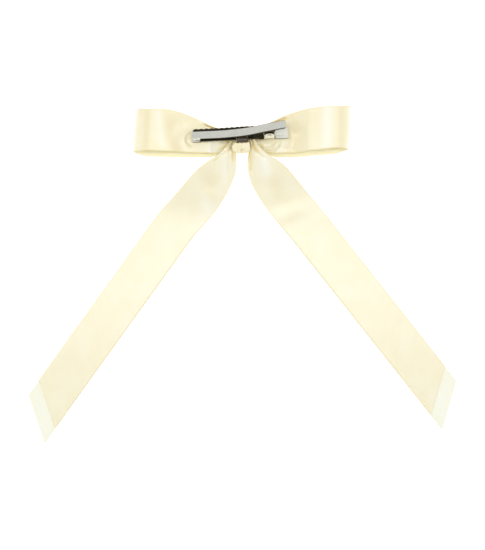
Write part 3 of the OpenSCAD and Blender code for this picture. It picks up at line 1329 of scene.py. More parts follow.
@dataclass
class KnotWrap:
    """Short ribbon folded in three and wrapped round the gather and the lower jaw."""

    pose: ClipPose
    centre: float = -0.8
    width: float = 6.6
    flare: tuple[float, float] = (2.7, 1.0)
    hollow: tuple[float, float] = (0.0, 11.9)
    hollow_depth: float = 1.3
    swell: float = 0.45
    ridge: float = 0.35
    crease: float = 0.4
    edge_roll: float = 0.35
    rolled_from: float = 0.82
    wide_fold: tuple[float, float] = (0.1, 1.5)
    fine_fold: tuple[float, float] = (0.07, 3.2)
    painted_jaw_shadow: float = 2.0
    painted_hollow_shade: float = 0.7
    thickness: float = 0.5
    length: float = 54.0
    rows: int = 260
    columns: int = 36

    def line(self) -> SmoothPath:
        """Draw the band's closed centre line.

        Returns:
            Y and Z in the bow's frame.
        """
        at, t = self.pose.section, self.thickness / 2
        return SmoothPath(
            [
                (0, t), (4.9, t), (6.7, 1.8), (7.05, 6.5), (7.2, 10.6), at(4.55, 0.5),
                at(4.3, 1.35), at(3.4, 1.66), at(0, 1.63), at(-3.3, 1.68), at(-4.4, 1.25),
                (-3.7, 15), (-6.6, 11.8), (-7.4, 8), (-6.7, 1.8), (-4.9, t),
            ],
            closed=True,
        )

    def surface(self, along: Array, across: Array) -> Array:
        """Place every point of the band.

        Args:
            along: Shares round the band.
            across: Shares across it.

        Returns:
            Points in millimetres.
        """
        path = self.line()
        here = path.at(along)
        ahead = path.at((along + 0.002) % 1.0)
        step = ahead - here
        step /= np.linalg.norm(step, axis=1)[:, None]
        out = np.column_stack([step[:, 1], -step[:, 0]])
        u = 2 * across - 1
        y0, z0 = here[:, 0], here[:, 1]
        low_side = ease((-y0 - 2.0) / 3.0) * ease((z0 - 7.5) / 2.5)
        at_edge = np.clip(np.abs(u) - self.rolled_from, 0, 1) / (1 - self.rolled_from)
        rolled = -self.edge_roll * at_edge**2
        wide = self.wide_fold[0] * np.cos(2 * math.pi * self.wide_fold[1] * u + 0.6)
        fine = self.fine_fold[0] * np.cos(2 * math.pi * self.fine_fold[1] * u)
        folds = wide + fine + low_side * self.knot_folds(u, z0)
        place = here + out * (rolled + folds)[:, None]
        flare = low_side * np.where(u < 0, self.flare[0], self.flare[1])
        x = self.centre + u * (self.width / 2 + flare)
        turn = math.radians(self.pose.yaw)
        y, z = place[:, 0], np.maximum(place[:, 1], self.thickness / 2)
        return np.stack(
            [x * math.cos(turn) - y * math.sin(turn), x * math.sin(turn) + y * math.cos(turn), z],
            axis=1,
        )

    def tone(self, places: Array, along: Array) -> Array:
        """Paint shadow on the satin where it lies between the jaws, and shade in the hollow.

        Args:
            places: Points in millimetres.
            along: Shares round the band.

        Returns:
            How much shade is painted on each point, below 0.
        """
        x, y, z = places.T
        in_jaw_shadow = ease((self.pose.local(places)[:, 2] + 0.4) / 0.8)
        dimple = bell(np.hypot(x - self.centre + 0.3, z - self.hollow[1]), 1.0) * (y < -3)
        # Painted shadow between the jaws and painted shade in the hollow.
        dark = self.painted_jaw_shadow * in_jaw_shadow + self.painted_hollow_shade * dimple
        return -dark * np.ones(len(along))

    def knot_folds(self, u: Array, z: Array) -> Array:
        """Uneven folds of the knot's lower side, round a small hollow.

        Args:
            u: Places across the band, from -1 to 1.
            z: Heights in millimetres.

        Returns:
            How far the band stands out, in millimetres.
        """
        hollow = np.hypot((u - self.hollow[0]) * 4.4, (z - self.hollow[1]) * 1.1)
        swell = self.swell * (1 - u * u)
        ridge = self.ridge * bell(hollow - 1.7, 0.6)
        crease = self.crease * bell(u + 0.62 - 0.05 * (z - 11), 0.09)
        return swell + ridge - crease - self.hollow_depth * bell(hollow, 0.95)

    def build(self, finishes: Finishes) -> bpy.types.Object:
        """Make and dress the wrap.

        Args:
            finishes: The materials.

        Returns:
            The wrap.
        """
        made = shaped_grid(
            "knot_wrap_ribbon", self.rows, self.columns, self.surface, (25.0, self.length),
            joined=True, tone=self.tone,
        )
        middle = Vector((0, 0, 7 * MM))
        face_towards(made, self.columns, lambda c, n: n.dot(c - middle) > 0)
        finish_ribbon(
            made, "knot_wrap", self.thickness * 0.9, finishes.satin_knot_painted_light_and_shadow, finishes.satin_inside
        )
        return made


@dataclass
class Binding:
    """Thread wound round the gathered layers, and the glue under the clip."""

    gather: Gather
    diameter: float = 0.4
    turns: int = 5
    spread: float = 3.4
    squareness: int = 8
    beside: float = 0.95
    over: float = 0.65
    glue_fill: float = 0.86
    glue_squash: float = 0.75
    glue_slope: float = 0.2
    glue_lumps: float = 0.03

    def thread_path(self) -> Array:
        """Wind the thread's line round the stack.

        Returns:
            Points in millimetres.
        """
        g, n = self.gather, self.squareness
        steps = 64 * self.turns
        angle = np.linspace(0, 2 * math.pi * self.turns, steps + 1)
        k = (np.abs(np.cos(angle)) ** n + np.abs(np.sin(angle)) ** n) ** (-1 / n)
        half_stack = 3.5 * g.pitch + g.depth + self.over
        y = (g.width / 2 + self.beside) * k * np.cos(angle)
        z = g.level(3) + g.pitch / 2 + half_stack * k * np.sin(angle)
        x = np.linspace(-self.spread / 2, self.spread / 2, steps + 1)
        return np.stack([x, y, z], axis=1)

    def build(self, finishes: Finishes) -> None:
        """Make and dress the thread and the glue.

        Args:
            finishes: The materials.
        """
        thread = tube("binding_thread_turns", self.thread_path(), self.diameter / 2)
        dress(thread, finishes.thread)
        smooth(thread)
        attach(thread, Body.BOW, "thread", "binding_thread")
        self.build_glue(finishes)

    def build_glue(self, finishes: Finishes) -> None:
        """Make the blob of glue between the stack and the lower jaw.

        Args:
            finishes: The materials.
        """
        low, high = (Vector(c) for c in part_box("glue_pad"))
        bm = bmesh.new()
        bmesh.ops.create_icosphere(bm, subdivisions=4, radius=0.5)
        for v in bm.verts:
            lump = self.glue_lumps * math.sin(9 * v.co.x) * math.cos(7 * v.co.y)
            v.co += v.co.normalized() * lump
        size, middle = (high - low) * self.glue_fill, (high + low) / 2
        bmesh.ops.scale(bm, vec=size, verts=bm.verts)
        for v in bm.verts:
            v.co.z *= self.glue_squash
            v.co.z -= self.glue_slope * v.co.y
        bmesh.ops.translate(bm, vec=middle, verts=bm.verts)
        glue = close_mesh("glue_blob", bm)
        dress(glue, finishes.glue)
        smooth(glue)
        attach(glue, Body.BOW, "hot_glue", "glue_pad")


# ---------------------------------------------------------------- the clip


@dataclass
class Stamping:
    """What both jaws share: sheet steel with its middle flat and its edges bent."""

    pose: ClipPose
    nose: float = -45.0
    tail: float = 11.0
    metal: float = 0.5
    pivot_height: float = 3.0
    rows: int = 448
    columns: int = 44
    flat_share: float = 0.45
    flange_share: float = 0.6
    crease_angle: float = 35.0

    def split(self, across: Array) -> tuple[Array, Array, Array]:
        """Share out each half of the section.

        Args:
            across: Distances from the middle line, as shares of the half section.

        Returns:
            How far each place is over the flat, round the bend and along the flange.
        """
        bend = self.flange_share - self.flat_share
        return (
            np.clip(across / self.flat_share, 0, 1),
            np.clip((across - self.flat_share) / bend, 0, 1),
            np.clip((across - self.flange_share) / (1 - self.flange_share), 0, 1),
        )

    def surface(self, along: Array, across: Array) -> Array:
        """Place every point of the stamping's middle surface.

        Args:
            along: Shares along the jaw, from the nose.
            across: Shares across it.

        Returns:
            Points in millimetres.
        """
        raise NotImplementedError

    def press(
        self, name: str, width: float, *materials: bpy.types.Material
    ) -> bpy.types.Object:
        """Press the sheet into shape, with its faces up.

        Args:
            name: The object's name.
            width: The sheet's flat width in millimetres.
            materials: Its finishes.

        Returns:
            The jaw, one face thick.
        """
        size = (width, self.tail - self.nose)
        made = shaped_grid(name, self.rows, self.columns, self.surface, size)
        up = self.pose.matrix().to_3x3() @ Vector((0, 0, 1))
        face_towards(made, self.columns, lambda c, n: n.dot(up) > 0)
        dress(made, *materials)
        return made


@dataclass
class LowerJaw(Stamping):
    """Stamped jaw with splayed toothed flanges, a plain nose, ears and a flat tail."""

    floor: float = 5.8
    bend_radius: float = 0.4
    plain_flange: float = 0.94
    tooth_foot: float = 1.05
    tooth_height: float = 0.4
    rear_growth: float = 0.35
    flange_bend: float = 50.0
    ear_bend: float = 88.0
    pitch: float = 3.0
    teeth_from: float = -40.5
    teeth_to: float = -6.0
    ear_radius: float = 3.3
    far_teeth: float = 0.75
    far_teeth_from: float = -44.4

    def flange(self, u: Array, far: Array) -> tuple[Array, Array, Array]:
        """Shape the flange all along the jaw.

        Args:
            u: Distances along the jaw from the pivot.
            far: Whether each is on the flange that points up the bow.

        Returns:
            Lengths in millimetres, bends in radians, and shares of toothed edge.
        """
        start = np.where(far, self.far_teeth_from, self.teeth_from)
        teeth = ease((u - start + 0.3) / 0.6) * (1 - ease((u - self.teeth_to) / 0.6))
        scallop = np.abs(np.cos(math.pi * (u - self.teeth_from - 0.8) / self.pitch)) ** 0.7
        growth = self.rear_growth * ease((u + 34) / 22)
        toothed = self.tooth_foot + self.tooth_height * scallop + growth
        in_ear = 1 - ease((np.abs(u) - self.ear_radius + 0.15) / 0.3)
        round_top = np.sqrt(np.maximum(self.ear_radius**2 - u**2, 0.0))
        ear = self.pivot_height - 0.75 + round_top * 0.85
        length = mix(mix(self.plain_flange, toothed, teeth), ear, in_ear)
        bend = mix(math.radians(self.flange_bend) * teeth, math.radians(self.ear_bend), in_ear)
        return length, bend, teeth * (1 - in_ear)

    def surface(self, along: Array, across: Array) -> Array:
        """Place every point of the stamping's middle surface.

        Args:
            along: Shares along the jaw, from the nose.
            across: Shares across it.

        Returns:
            Points in millimetres.
        """
        u = mix(self.nose, self.tail, along)
        c = 2 * across - 1
        r = self.bend_radius
        half = self.floor / 2 - r * 0.6
        length, bend, toothed = self.flange(u, c > 0)
        length = length + self.far_teeth * toothed * (c > 0)
        on_floor, round_bend, on_flange = self.split(np.abs(c))
        in_bend = round_bend * bend
        v = half * on_floor + r * np.sin(in_bend) + on_flange * length * np.cos(bend)
        w = r * (1 - np.cos(in_bend)) + on_flange * length * np.sin(bend)
        nose_corner = 0.06 * ease((self.nose + 0.5 - u) / 0.5)
        tail_corner = 0.05 * ease((u - self.tail + 0.5) / 0.5)
        v = v * (1 - nose_corner - tail_corner)
        local = np.stack([u, np.sign(c) * v, w + self.metal / 2], axis=1)
        return self.pose.points(local)

    def build(self, finishes: Finishes) -> bpy.types.Object:
        """Make and dress the jaw.

        Args:
            finishes: The materials.

        Returns:
            The jaw.
        """
        made = self.press(
            "lower_jaw_stamping", 14.0, finishes.steel, finishes.steel_painted_lighter, finishes.cut_steel_and_painted_shade
        )
        # Slot 1 paints the nose and the tail plate lighter: painted light.
        mark_faces(made, self.pose, 1, self.on_ends)
        # Slot 2 paints the faces between the jaws near-black: painted shade.
        mark_faces(made, self.pose, 2, self.in_mouth)
        thicken(made, self.metal, back_slot=-2, rim_slot=2)
        smooth(made, self.crease_angle)
        return attach(made, Body.BOW, "plated_steel", "lower_jaw")

    def in_mouth(self, centres: Array) -> Array:
        """Find the faces between the jaws, which are painted dark: painted shade.

        Args:
            centres: The faces' centres in the clip's frame.

        Returns:
            Whether each is one.
        """
        far = centres[:, 1] > self.floor / 2
        start = np.where(far, self.far_teeth_from, self.teeth_from)
        return (centres[:, 0] > start) & (centres[:, 0] < -self.ear_radius)

    def on_ends(self, centres: Array) -> Array:
        """Whether each face is on the plain nose or the tail plate, where the steel is painted
        lighter: painted light against the shade and dark reflections there.
        """
        return (centres[:, 0] < self.teeth_from) | (centres[:, 0] > self.ear_radius + 0.1)


@dataclass
class UpperJaw(Stamping):
    """Narrower stamped jaw, straight along its nose and kinked up to its tail."""

    tail: float = 9.5
    rows: int = 436
    columns: int = 40
    flat_share: float = 0.5
    flange_share: float = 0.66
    width: float = 5.2
    bend_radius: float = 0.16
    plain_nose: float = 4.6
    lip_width: float = 0.22
    lip_drop: tuple[float, float] = (0.08, 0.3)
    bead: float = 0.1
    dimple: float = 0.16
    ear_radius: float = 2.0
    ear_foot: float = 3.4

    def plate(self) -> SmoothPath:
        """Draw the side line of the plate's middle surface.

        Returns:
            Distance along the jaw from the pivot, and height over the lower jaw's floor.
        """
        lift = self.metal / 2
        return SmoothPath(
            [
                (self.nose, 1.7 + lift), (-36, 1.7 + lift), (-27, 1.78 + lift),
                (-20.5, 2.3 + lift), (-17, 2.7 + lift), (-12, 3.6 + lift),
                (-6, 5.2 + lift), (2, 7.45 + lift), (self.tail, 9.4 + lift),
            ]
        )

    def surface(self, along: Array, across: Array) -> Array:
        """Place every point of the stamping's middle surface.

        Args:
            along: Shares along the jaw, from the nose.
            across: Shares across it.

        Returns:
            Points in millimetres.
        """
        path = self.plate()
        line = path.at(along)
        ahead, behind = path.at(along + 0.002), path.at(along - 0.002)
        step = ahead - behind
        step /= np.linalg.norm(step, axis=1)[:, None]
        down = np.column_stack([step[:, 1], -step[:, 0]])
        u = line[:, 0]
        c = 2 * across - 1
        r = self.bend_radius
        half = self.width / 2 - r
        flat, round_bend, on_flange = self.split(np.abs(c))
        in_bend = round_bend * math.pi / 2
        v = half * flat + r * np.sin(in_bend)
        fall = r * (1 - np.cos(in_bend)) + on_flange * self.lip(u)
        place = line + down * (fall - self.pressed(u, c, half))[:, None]
        place = self.ears(place, on_flange, u)
        nose_corner = 0.05 * ease((self.nose + 0.4 - u) / 0.4)
        tail_corner = 0.06 * ease((u - self.tail + 0.5) / 0.5)
        v = v * (1 - nose_corner - tail_corner)
        local = np.stack([place[:, 0], np.sign(c) * v, place[:, 1]], axis=1)
        return self.pose.points(local)

    def lip(self, u: Array) -> Array:
        """Draw the turned-down edge, which is deepest along the nose.

        Args:
            u: Distances along the jaw from the pivot.

        Returns:
            How far the edge is turned down, in millimetres.
        """
        shallow, more = self.lip_drop
        lip = shallow + more * ease((self.nose + 20 - u) / 4)
        return lip * ease((u - self.nose - 0.5) / 0.8) * (1 - ease((u - self.tail + 2) / 1.5))

    def pressed(self, u: Array, c: Array, half: float) -> Array:
        """Raise the bead across the tail plate, and sink the small dimple beside it.

        Args:
            u: Distances along the jaw from the pivot.
            c: Shares across it, from -1 to 1.
            half: Half the plate's flat width.

        Returns:
            Heights over the plate, in millimetres.
        """
        from_edge = 0.47 - np.abs(c)
        bead = self.bead * bell(u - self.tail + 2.5, 0.28) * ease(from_edge / 0.06)
        sunk = bell(u - self.tail + 3.7, 0.4) * bell(c * 2 * half + 0.9, 0.45)
        return bead - self.dimple * sunk

    def ears(self, place: Array, on_flange: Array, u: Array) -> Array:
        """Draw the side flanges down to the pivot where the ears are.

        Args:
            place: Distances along the jaw and heights, without the ears.
            on_flange: How far each place is along the flange, from 0 to 1.
            u: Distances along the jaw from the pivot.

        Returns:
            The places with the ears.
        """
        foot = self.ear_foot
        inside = (np.abs(u) < foot)[:, None]
        share = np.clip(u / foot, -1, 1)
        low_u = share * self.ear_radius
        low_w = self.pivot_height - np.sqrt(np.maximum(self.ear_radius**2 - low_u**2, 0))
        tip = np.column_stack([low_u, low_w])
        ear = mix(place, tip, on_flange[:, None])
        return np.where(inside, ear, place)

    def build(self, finishes: Finishes) -> bpy.types.Object:
        """Make and dress the jaw.

        Args:
            finishes: The materials.

        Returns:
            The jaw.
        """
        made = self.press("upper_jaw_stamping", 8.0, finishes.steel, finishes.cut_steel_and_painted_shade)
        # Slot 1 paints the lips and ears dark: painted shade.
        mark_faces(made, self.pose, 1, self.on_lip)
        thicken(made, self.metal * 0.9, back_slot=-1, rim_slot=1)
        smooth(made, self.crease_angle)
        return attach(made, Body.JAW, "plated_steel", "upper_jaw")

    def on_lip(self, centres: Array) -> Array:
        """Find the faces on the turned-down lips and ears, which are painted dark: painted shade.

        Args:
            centres: The faces' centres in the clip's frame.

        Returns:
            Whether each is one.
        """
        far = centres[:, 1] > 0
        beyond = centres[:, 0] > self.nose + self.plain_nose
        return (np.abs(centres[:, 1]) > self.width / 2 - self.lip_width) & (far | beyond)


@dataclass
class Hinge:
    """The riveted pin and the torsion spring round it."""

    pose: ClipPose
    pivot_height: float = 3.0
    wire: float = 0.6
    coil_radius: float = 1.75
    coil_turns: float = 4.5
    half_coil: float = 1.5
    lower_leg: Sequence[tuple[float, float]] = ((8.2, 0.9), (5.0, 0.97), (2.0, 1.14))
    upper_leg: Sequence[tuple[float, float]] = ((1.2, 5.2), (4.0, 6.35), (7.4, 8.05))
    twist_at: float = 2.5
    twist_heights: tuple[float, float] = (-0.6, 2.0)
    rivet: Sequence[tuple[float, float]] = (
        (0.0, 4.1), (0.7, 4.06), (1.15, 3.88), (1.3, 3.68), (0.8, 3.66), (0.8, 0.0),
    )

    def build_pin(self, finishes: Finishes) -> bpy.types.Object:
        """Turn the pin with a domed rivet head at each end.

        Args:
            finishes: The materials.

        Returns:
            The pin.
        """
        bm = bmesh.new()
        outline = [*self.rivet, *[(r, -z) for r, z in reversed(self.rivet[:-1])]]
        verts = [bm.verts.new((r * MM, 0, z * MM)) for r, z in outline]
        edges = [bm.edges.new(pair) for pair in zip(verts, verts[1:])]
        bmesh.ops.spin(
            bm, geom=[*verts, *edges], cent=(0, 0, 0), axis=(0, 0, 1), angle=2 * math.pi,
            steps=40, use_merge=True,
        )
        bmesh.ops.remove_doubles(bm, verts=bm.verts, dist=1e-7)
        bmesh.ops.recalc_face_normals(bm, faces=bm.faces)
        stand = Matrix.Translation((0, 0, self.pivot_height)) @ Matrix.Rotation(
            math.pi / 2, 4, "X"
        )
        place = self.pose.matrix() @ stand
        shrink = Matrix.Scale(MM, 4)
        bmesh.ops.transform(
            bm, matrix=shrink @ place @ shrink.inverted(), verts=bm.verts
        )
        made = close_mesh("rivet_pin", bm)
        dress(made, finishes.steel)
        smooth(made)
        return attach(made, Body.BOW, "plated_steel", "pivot_pin")

    def spring_path(self) -> Array:
        """Draw the wire, from its lower leg round the coil to its upper leg.

        Returns:
            Points in millimetres.
        """
        r, side = self.coil_radius, self.half_coil
        steps = int(28 * self.coil_turns)
        a = np.linspace(0, 2 * math.pi * self.coil_turns, steps + 1) - math.pi / 2
        across = np.linspace(-side, side, steps + 1)
        coil = np.stack([r * np.cos(a), across, self.pivot_height + r * np.sin(a)], axis=1)
        lower = np.array([(u, -side, w) for u, w in self.lower_leg])
        upper = np.array([(u, side, w) for u, w in self.upper_leg])
        return self.pose.points(np.vstack([lower, coil, upper]))

    def build_spring(self, finishes: Finishes) -> bpy.types.Object:
        """Wind the spring between the two jaws.

        Args:
            finishes: The materials.

        Returns:
            The spring.
        """
        made = tube("torsion_spring_wire", self.spring_path(), self.wire / 2, 4)
        dress(made, finishes.wire)
        smooth(made, 60)
        attach(made, Body.BOW, "spring_wire", "torsion_spring")
        low, high = self.pose.points(
            np.array([(self.twist_at, 0, self.pivot_height + w) for w in self.twist_heights])
        )
        world = made.matrix_world.copy()
        made.parent = None
        made.matrix_world = world
        low * MM
        high * MM
        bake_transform(made)
        return made

    def build(self, finishes: Finishes) -> None:
        """Make the pin and the spring.

        Args:
            finishes: The materials.
        """
        self.build_pin(finishes)
        self.build_spring(finishes)


# ---------------------------------------------------------------- the bow


@dataclass
class HairBow:
    """The whole bow, piece by piece."""

    finishes: Finishes
    gather: Gather = field(default_factory=Gather)
    pose: ClipPose = field(default_factory=ClipPose)
    left_splay: float = 35.7
    left_end: float = 200.4
    left_line: float = 8.9
    right_splay: float = 38.3
    right_end: float = 193.3
    right_line: float = 13.7
    tail_step: float = 11.6
    tail_tuck: float = 0.3

    def loops(self) -> list[Loop]:
        """Lay out the two loops, with the dents and folds that the clip leaves in them.

        Returns:
            The left loop and the right one.
        """
        left = (
            Ring((-30.0, -0.6), 5.0, 180, 0.75, 0.7),
            Ring((-30.0, -0.6), 3.4, 180, -0.45, 0.9),
            Ring((-30.0, -1.5), 13.5, 180, 0.4, 3.5, 80),
            Ring((-30.0, -1.0), 8.6, 185, -0.35, 2.4),
            Fold((-20.0, -8.5), (-20.5, -2.5), 0.6, 1.8),
            Fold((-14.2, -8.0), (-14.0, -3), -0.35, 2.0),
            Fold((-8.0, -2.5), (-11.5, -5.5), -0.3, 0.9),
            Fold((-22.5, 8.6), (-10.5, 4.9), -2.2, 0.6),
            Fold((-17.5, 6.2), (-9.5, 3.2), -0.9, 0.6),
            Fold((-24.0, 6.3), (-14.0, 4.2), 0.5, 1.0),
        )
        right = (
            Ring((15.5, -1.0), 4.4, 270, 0.45, 0.6),
            Ring((15.5, -1.0), 6.0, 280, -0.4, 0.7),
            Ring((15.0, -1.5), 7.6, 290, 0.35, 0.8),
            Ring((15.0, 0.0), 13.4, 0, 0.4, 0.7, 60),
            Ring((15.0, 0.0), 15.2, 0, -0.35, 0.8, 60),
            Ring((15.0, 1.5), 18.4, 5, -0.5, 3.0, 65),
            Fold((8.0, 6.4), (24.0, 12.6), -1.8, 0.6),
            Fold((27.5, 8.5), (30.0, 3.0), 0.5, 1.2),
            Fold((6.5, -4.0), (15.0, -7.6), -0.25, 1.0),
            Fold((28.0, -6.5), (21.0, -5.5), 0.35, 1.2),
        )
        # Painted light and shade on the loops' satin: above 0 painted highlights, such as the
        # bright bands at the loop ends, below 0 painted shade, and below -1 the deeper painted
        # shade of creases.
        left_painted_shading = (
            Fold((-61.6, 14.0), (-62.0, -8.0), 0.8, 1.5),
            Fold((-56.2, 14.0), (-57.0, -8.0), -0.8, 2.2),
            Fold((-49.2, 12.0), (-47.6, -2.0), 0.75, 2.6),
            Fold((-43.0, 6.0), (-41.0, -5.0), -0.75, 5.0),
            Fold((-19.9, -2.5), (-20.2, -9.0), 0.9, 1.0),
            Fold((-16.0, -2.5), (-16.6, -8.0), 0.8, 2.6),
            Fold((-8.4, -2.6), (-10.8, -5.0), -1.4, 1.0),
            Fold((-21.8, 8.8), (-11.0, 4.7), -1.9, 0.5),
            Fold((-17.0, 5.4), (-9.0, 2.6), -1.2, 0.5),
            Ring((-30.0, -0.6), 4.2, 180, -0.3, 0.8),
        )
        right_painted_shading = (
            Fold((30.0, 13.0), (30.8, -6.0), -0.75, 4.0),
            Fold((49.0, 15.0), (48.6, -5.0), 0.9, 3.4),
            Fold((57.2, 16.0), (57.0, -5.0), -0.8, 1.8),
            Fold((60.8, 17.0), (60.6, -6.0), 0.9, 0.8),
            Fold((7.4, 6.4), (25.0, 11.9), -1.8, 0.7),
            Fold((28.3, 5.3), (28.5, -4.6), -0.4, 0.4),
            Fold((29.8, 5.0), (30.0, -4.0), -0.3, 0.4),
            Fold((31.8, 4.0), (31.8, 0.5), -0.3, 2.6),
            Fold((9.0, -4.0), (13.0, -6.0), 0.4, 2.4),
            Ring((15.5, -1.0), 5.4, 280, -0.8, 0.6),
            Ring((15.5, -1.0), 8.2, 290, 0.6, 0.8),
        )
        return [
            Loop(
                Side.LEFT, self.gather, reach=64.3, rise=16.5, early=0.0, front_layer=0,
                back_layer=2, lean=1.9, folds=left, painted_shading=left_painted_shading,
            ),
            Loop(
                Side.RIGHT, self.gather, reach=62.7, rise=18.1, early=1.0, front_layer=1,
                back_layer=3, lean=-1.2, folds=right, painted_shading=right_painted_shading,
            ),
        ]

    def left_edges(self, z: float) -> tuple[list[Place], list[Place]]:
        """Draw the left tail's edges near the knot.

        Args:
            z: The height at which they leave the stack.

        Returns:
            Points of the inner edge and of the outer one.
        """
        g = self.gather
        half = g.width / 2
        inner = [
            (g.lap, -half, z), (-g.lap, -half, z), (-3.9, -half - 0.2, z),
            (-4.5, -9.5, z + 0.3), (-4.4, -17, 5.2), (-8.6, -28.5, 2.4), (-16.5, -41.5, 0.6),
        ]
        outer = [
            (g.lap, half, z), (-g.lap, half, z), (-3.9, half - 0.5, z),
            (-8, -1.2, z + 2.1), (-13.4, -8.1, 10.6), (-26, -16.9, 9.2), (-38.5, -29.6, 4),
        ]
        return inner, outer

    def right_edges(self, z: float) -> tuple[list[Place], list[Place]]:
        """Draw the right tail's edges near the knot.

        Args:
            z: The height at which they leave the stack.

        Returns:
            Points of the inner edge and of the outer one.
        """
        g = self.gather
        half = g.width / 2
        inner = [
            (-g.lap, -half, z), (g.lap, -half, z), (2.8, -half - 0.2, z),
            (2.9, -9.5, z - 0.6), (2.5, -17, 5.2), (5.5, -26.8, 2.4), (14, -40.5, 0.6),
        ]
        outer = [
            (-g.lap, half, z), (g.lap, half, z), (3.5, half - 0.5, z),
            (7, -0.8, z + 1.4), (11.6, -7.1, 10.6), (22.4, -14.2, 9.2), (33.2, -24.8, 4),
        ]
        return inner, outer

    def tails(self) -> list[Tail]:
        """Lay out the four strips of the two tails.

        Returns:
            For each layer, the left strip and the right one.
        """
        left_folds = (
            Fold((-6.5, -6.4), (-6.3, -11.0), -0.6, 0.75),
            Fold((-9.6, -7.0), (-11.0, -17.0), 0.8, 1.5),
            Fold((-11.0, -7.9), (-14.8, -10.6), -0.45, 0.7),
            Fold((-13.0, -22.0), (-19.5, -26.0), -0.6, 4.2),
            Fold((-16.0, -34.0), (-24.0, -31.0), 0.55, 4.0),
            Fold((-7.6, -8.0), (-7.4, -14.0), 0.5, 0.7),
        )
        right_folds = (
            Fold((4.0, -7.6), (5.2, -15.0), -0.55, 0.7),
            Fold((5.4, -4.6), (11.8, -10.6), -0.4, 0.8),
            Fold((7.0, -9.0), (13.5, -17.0), 0.9, 2.6),
            Fold((13.5, -26.0), (22.0, -26.0), -0.6, 4.0),
            Fold((6.6, -8.6), (6.6, -14.0), 0.45, 0.8),
            Fold((24.0, -45.0), (32.0, -42.0), 0.5, 5.0),
        )
        # Painted light and shade on the tails: painted highlights above 0, painted shade below 0,
        # and the deeper painted shade of pleats below -1.
        left_painted_shading = (
            Fold((-6.2, -5.9), (-6.1, -12.4), -1.8, 0.75),
            Fold((-6.8, -3.3), (-17.5, -11.1), 0.8, 0.5),
            Fold((-6.4, -4.9), (-17.2, -12.7), -1.4, 0.5),
            Fold((-20.1, -24.0), (-19.6, -29.0), -0.7, 4.6),
            Fold((-22.1, -35.0), (-22.1, -38.0), 0.4, 4.2),
            Fold((-11.7, -9.8), (-11.4, -24.0), 0.35, 1.9),
            Fold((-9.0, -14.0), (-19.0, -38.0), 0.25, 9.0),
            Fold((-7.4, -2.6), (-9.6, -5.6), -1.4, 1.2),
        )
        right_painted_shading = (
            Fold((4.0, -7.7), (4.3, -17.1), -1.8, 0.75),
            Fold((4.7, -4.4), (11.4, -10.3), -1.5, 0.55),
            Fold((12.4, -14.0), (13.6, -19.0), 0.6, 3.2),
            Fold((19.0, -26.0), (21.0, -29.5), -0.65, 4.6),
            Fold((10.0, -14.0), (16.0, -24.0), 0.25, 8.0),
            Fold((5.0, -2.5), (8.0, -6.0), -1.5, 1.2),
        )
        g = self.gather
        left = (*self.left_edges(g.level(4)), left_folds, left_painted_shading)
        right = (*self.right_edges(g.level(5)), right_folds, right_painted_shading)
        shapes = (
            (Side.LEFT, self.left_splay, self.left_end, self.left_line, left),
            (Side.RIGHT, self.right_splay, self.right_end, self.right_line, right),
        )
        steps = ((Layer.FRONT, 0.0, 0.0), (Layer.BACK, self.tail_step, self.tail_tuck))
        return [
            Tail(side, layer, g, splay, end - shorter, line - tuck, *rest)
            for layer, shorter, tuck in steps
            for side, splay, end, line, rest in shapes
        ]

    def build(self) -> None:
        """Make every piece."""
        for loop in self.loops():
            loop.build(self.finishes)
        for tail in self.tails():
            tail.build(self.finishes)
        LowerJaw(self.pose).build(self.finishes)
        UpperJaw(self.pose).build(self.finishes)
        Hinge(self.pose).build(self.finishes)
        KnotWrap(self.pose).build(self.finishes)
        Binding(self.gather).build(self.finishes)


# ---------------------------------------------------------------- the studio


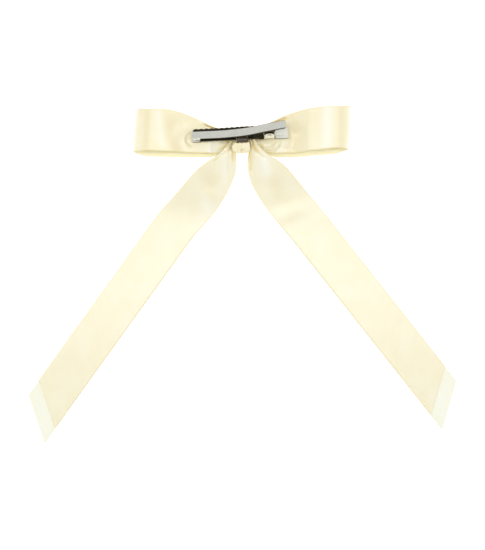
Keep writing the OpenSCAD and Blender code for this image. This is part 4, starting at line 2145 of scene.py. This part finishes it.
@dataclass
class Studio:
    """White table, soft overhead light and a camera that looks straight down."""

    camera_at: Place = (-0.0006, -0.0806, 0.5)
    lens: float = 54.1
    sensor: float = 36.0
    near: float = 0.01
    floor_half: float = 1.6
    floor_drop: float = 0.00005
    strip_at: Place = (0.38, -0.06, 0.95)
    strip_size: tuple[float, float] = (0.1, 1.0)
    strip_power: float = 2.2
    aim: Place = (0.0, -0.06, 0.0)
    sky: float = 0.69

    def build_camera(self) -> None:
        """Stand the camera over the bow."""
        data = bpy.data.cameras.new("camera")
        data.lens = self.lens
        data.sensor_width = self.sensor
        data.clip_start = self.near
        made = bpy.data.objects.new("camera", data)
        made.location = self.camera_at
        bpy.context.collection.objects.link(made)
        bpy.context.scene.camera = made

    def build_floor(self) -> None:
        """Lay the white table that the bow rests on."""
        bm = bmesh.new()
        bmesh.ops.create_grid(bm, x_segments=4, y_segments=4, size=self.floor_half)
        bmesh.ops.translate(bm, vec=(0, 0, -self.floor_drop), verts=bm.verts)
        floor = close_mesh("floor", bm)
        dress(floor, Backdrop().make())

    def build_strip(self, side: Side) -> None:
        """Hang one of the two long soft boxes.

        Args:
            side: The side of the bow that it hangs over.
        """
        name = f"{side.name.lower()}_strip"
        x, y, z = self.strip_at
        data = bpy.data.lights.new(name, "AREA")
        data.shape = "RECTANGLE"
        data.size, data.size_y = self.strip_size
        data.energy = self.strip_power
        made = bpy.data.objects.new(name, data)
        made.location = (side.value * x, y, z)
        aim = Vector(self.aim) - made.location
        made.rotation_euler = aim.to_track_quat("-Z", "Y").to_euler()
        bpy.context.collection.objects.link(made)

    def build_sky(self) -> None:
        """Surround the table with an evenly bright room."""
        world = bpy.data.worlds.new("studio")
        world.use_nodes = True
        sky = world.node_tree.nodes["Background"]
        sky.inputs["Color"].default_value = (1.0, 1.0, 1.0, 1.0)
        sky.inputs["Strength"].default_value = self.sky
        bpy.context.scene.world = world

    def build(self) -> None:
        """Set up the floor, the lights and the room."""
        self.build_floor()
        for side in Side:
            self.build_strip(side)
        self.build_sky()
        bpy.context.scene.view_settings.view_transform = "Standard"


def main() -> None:
    """Build the studio and the bow."""
    logging.basicConfig(level=logging.INFO, format="%(name)s: %(message)s")
    studio = Studio()
    studio.build_camera()
    HairBow(mix_finishes()).build()
    studio.build()


if __name__ == "__main__":
    main()
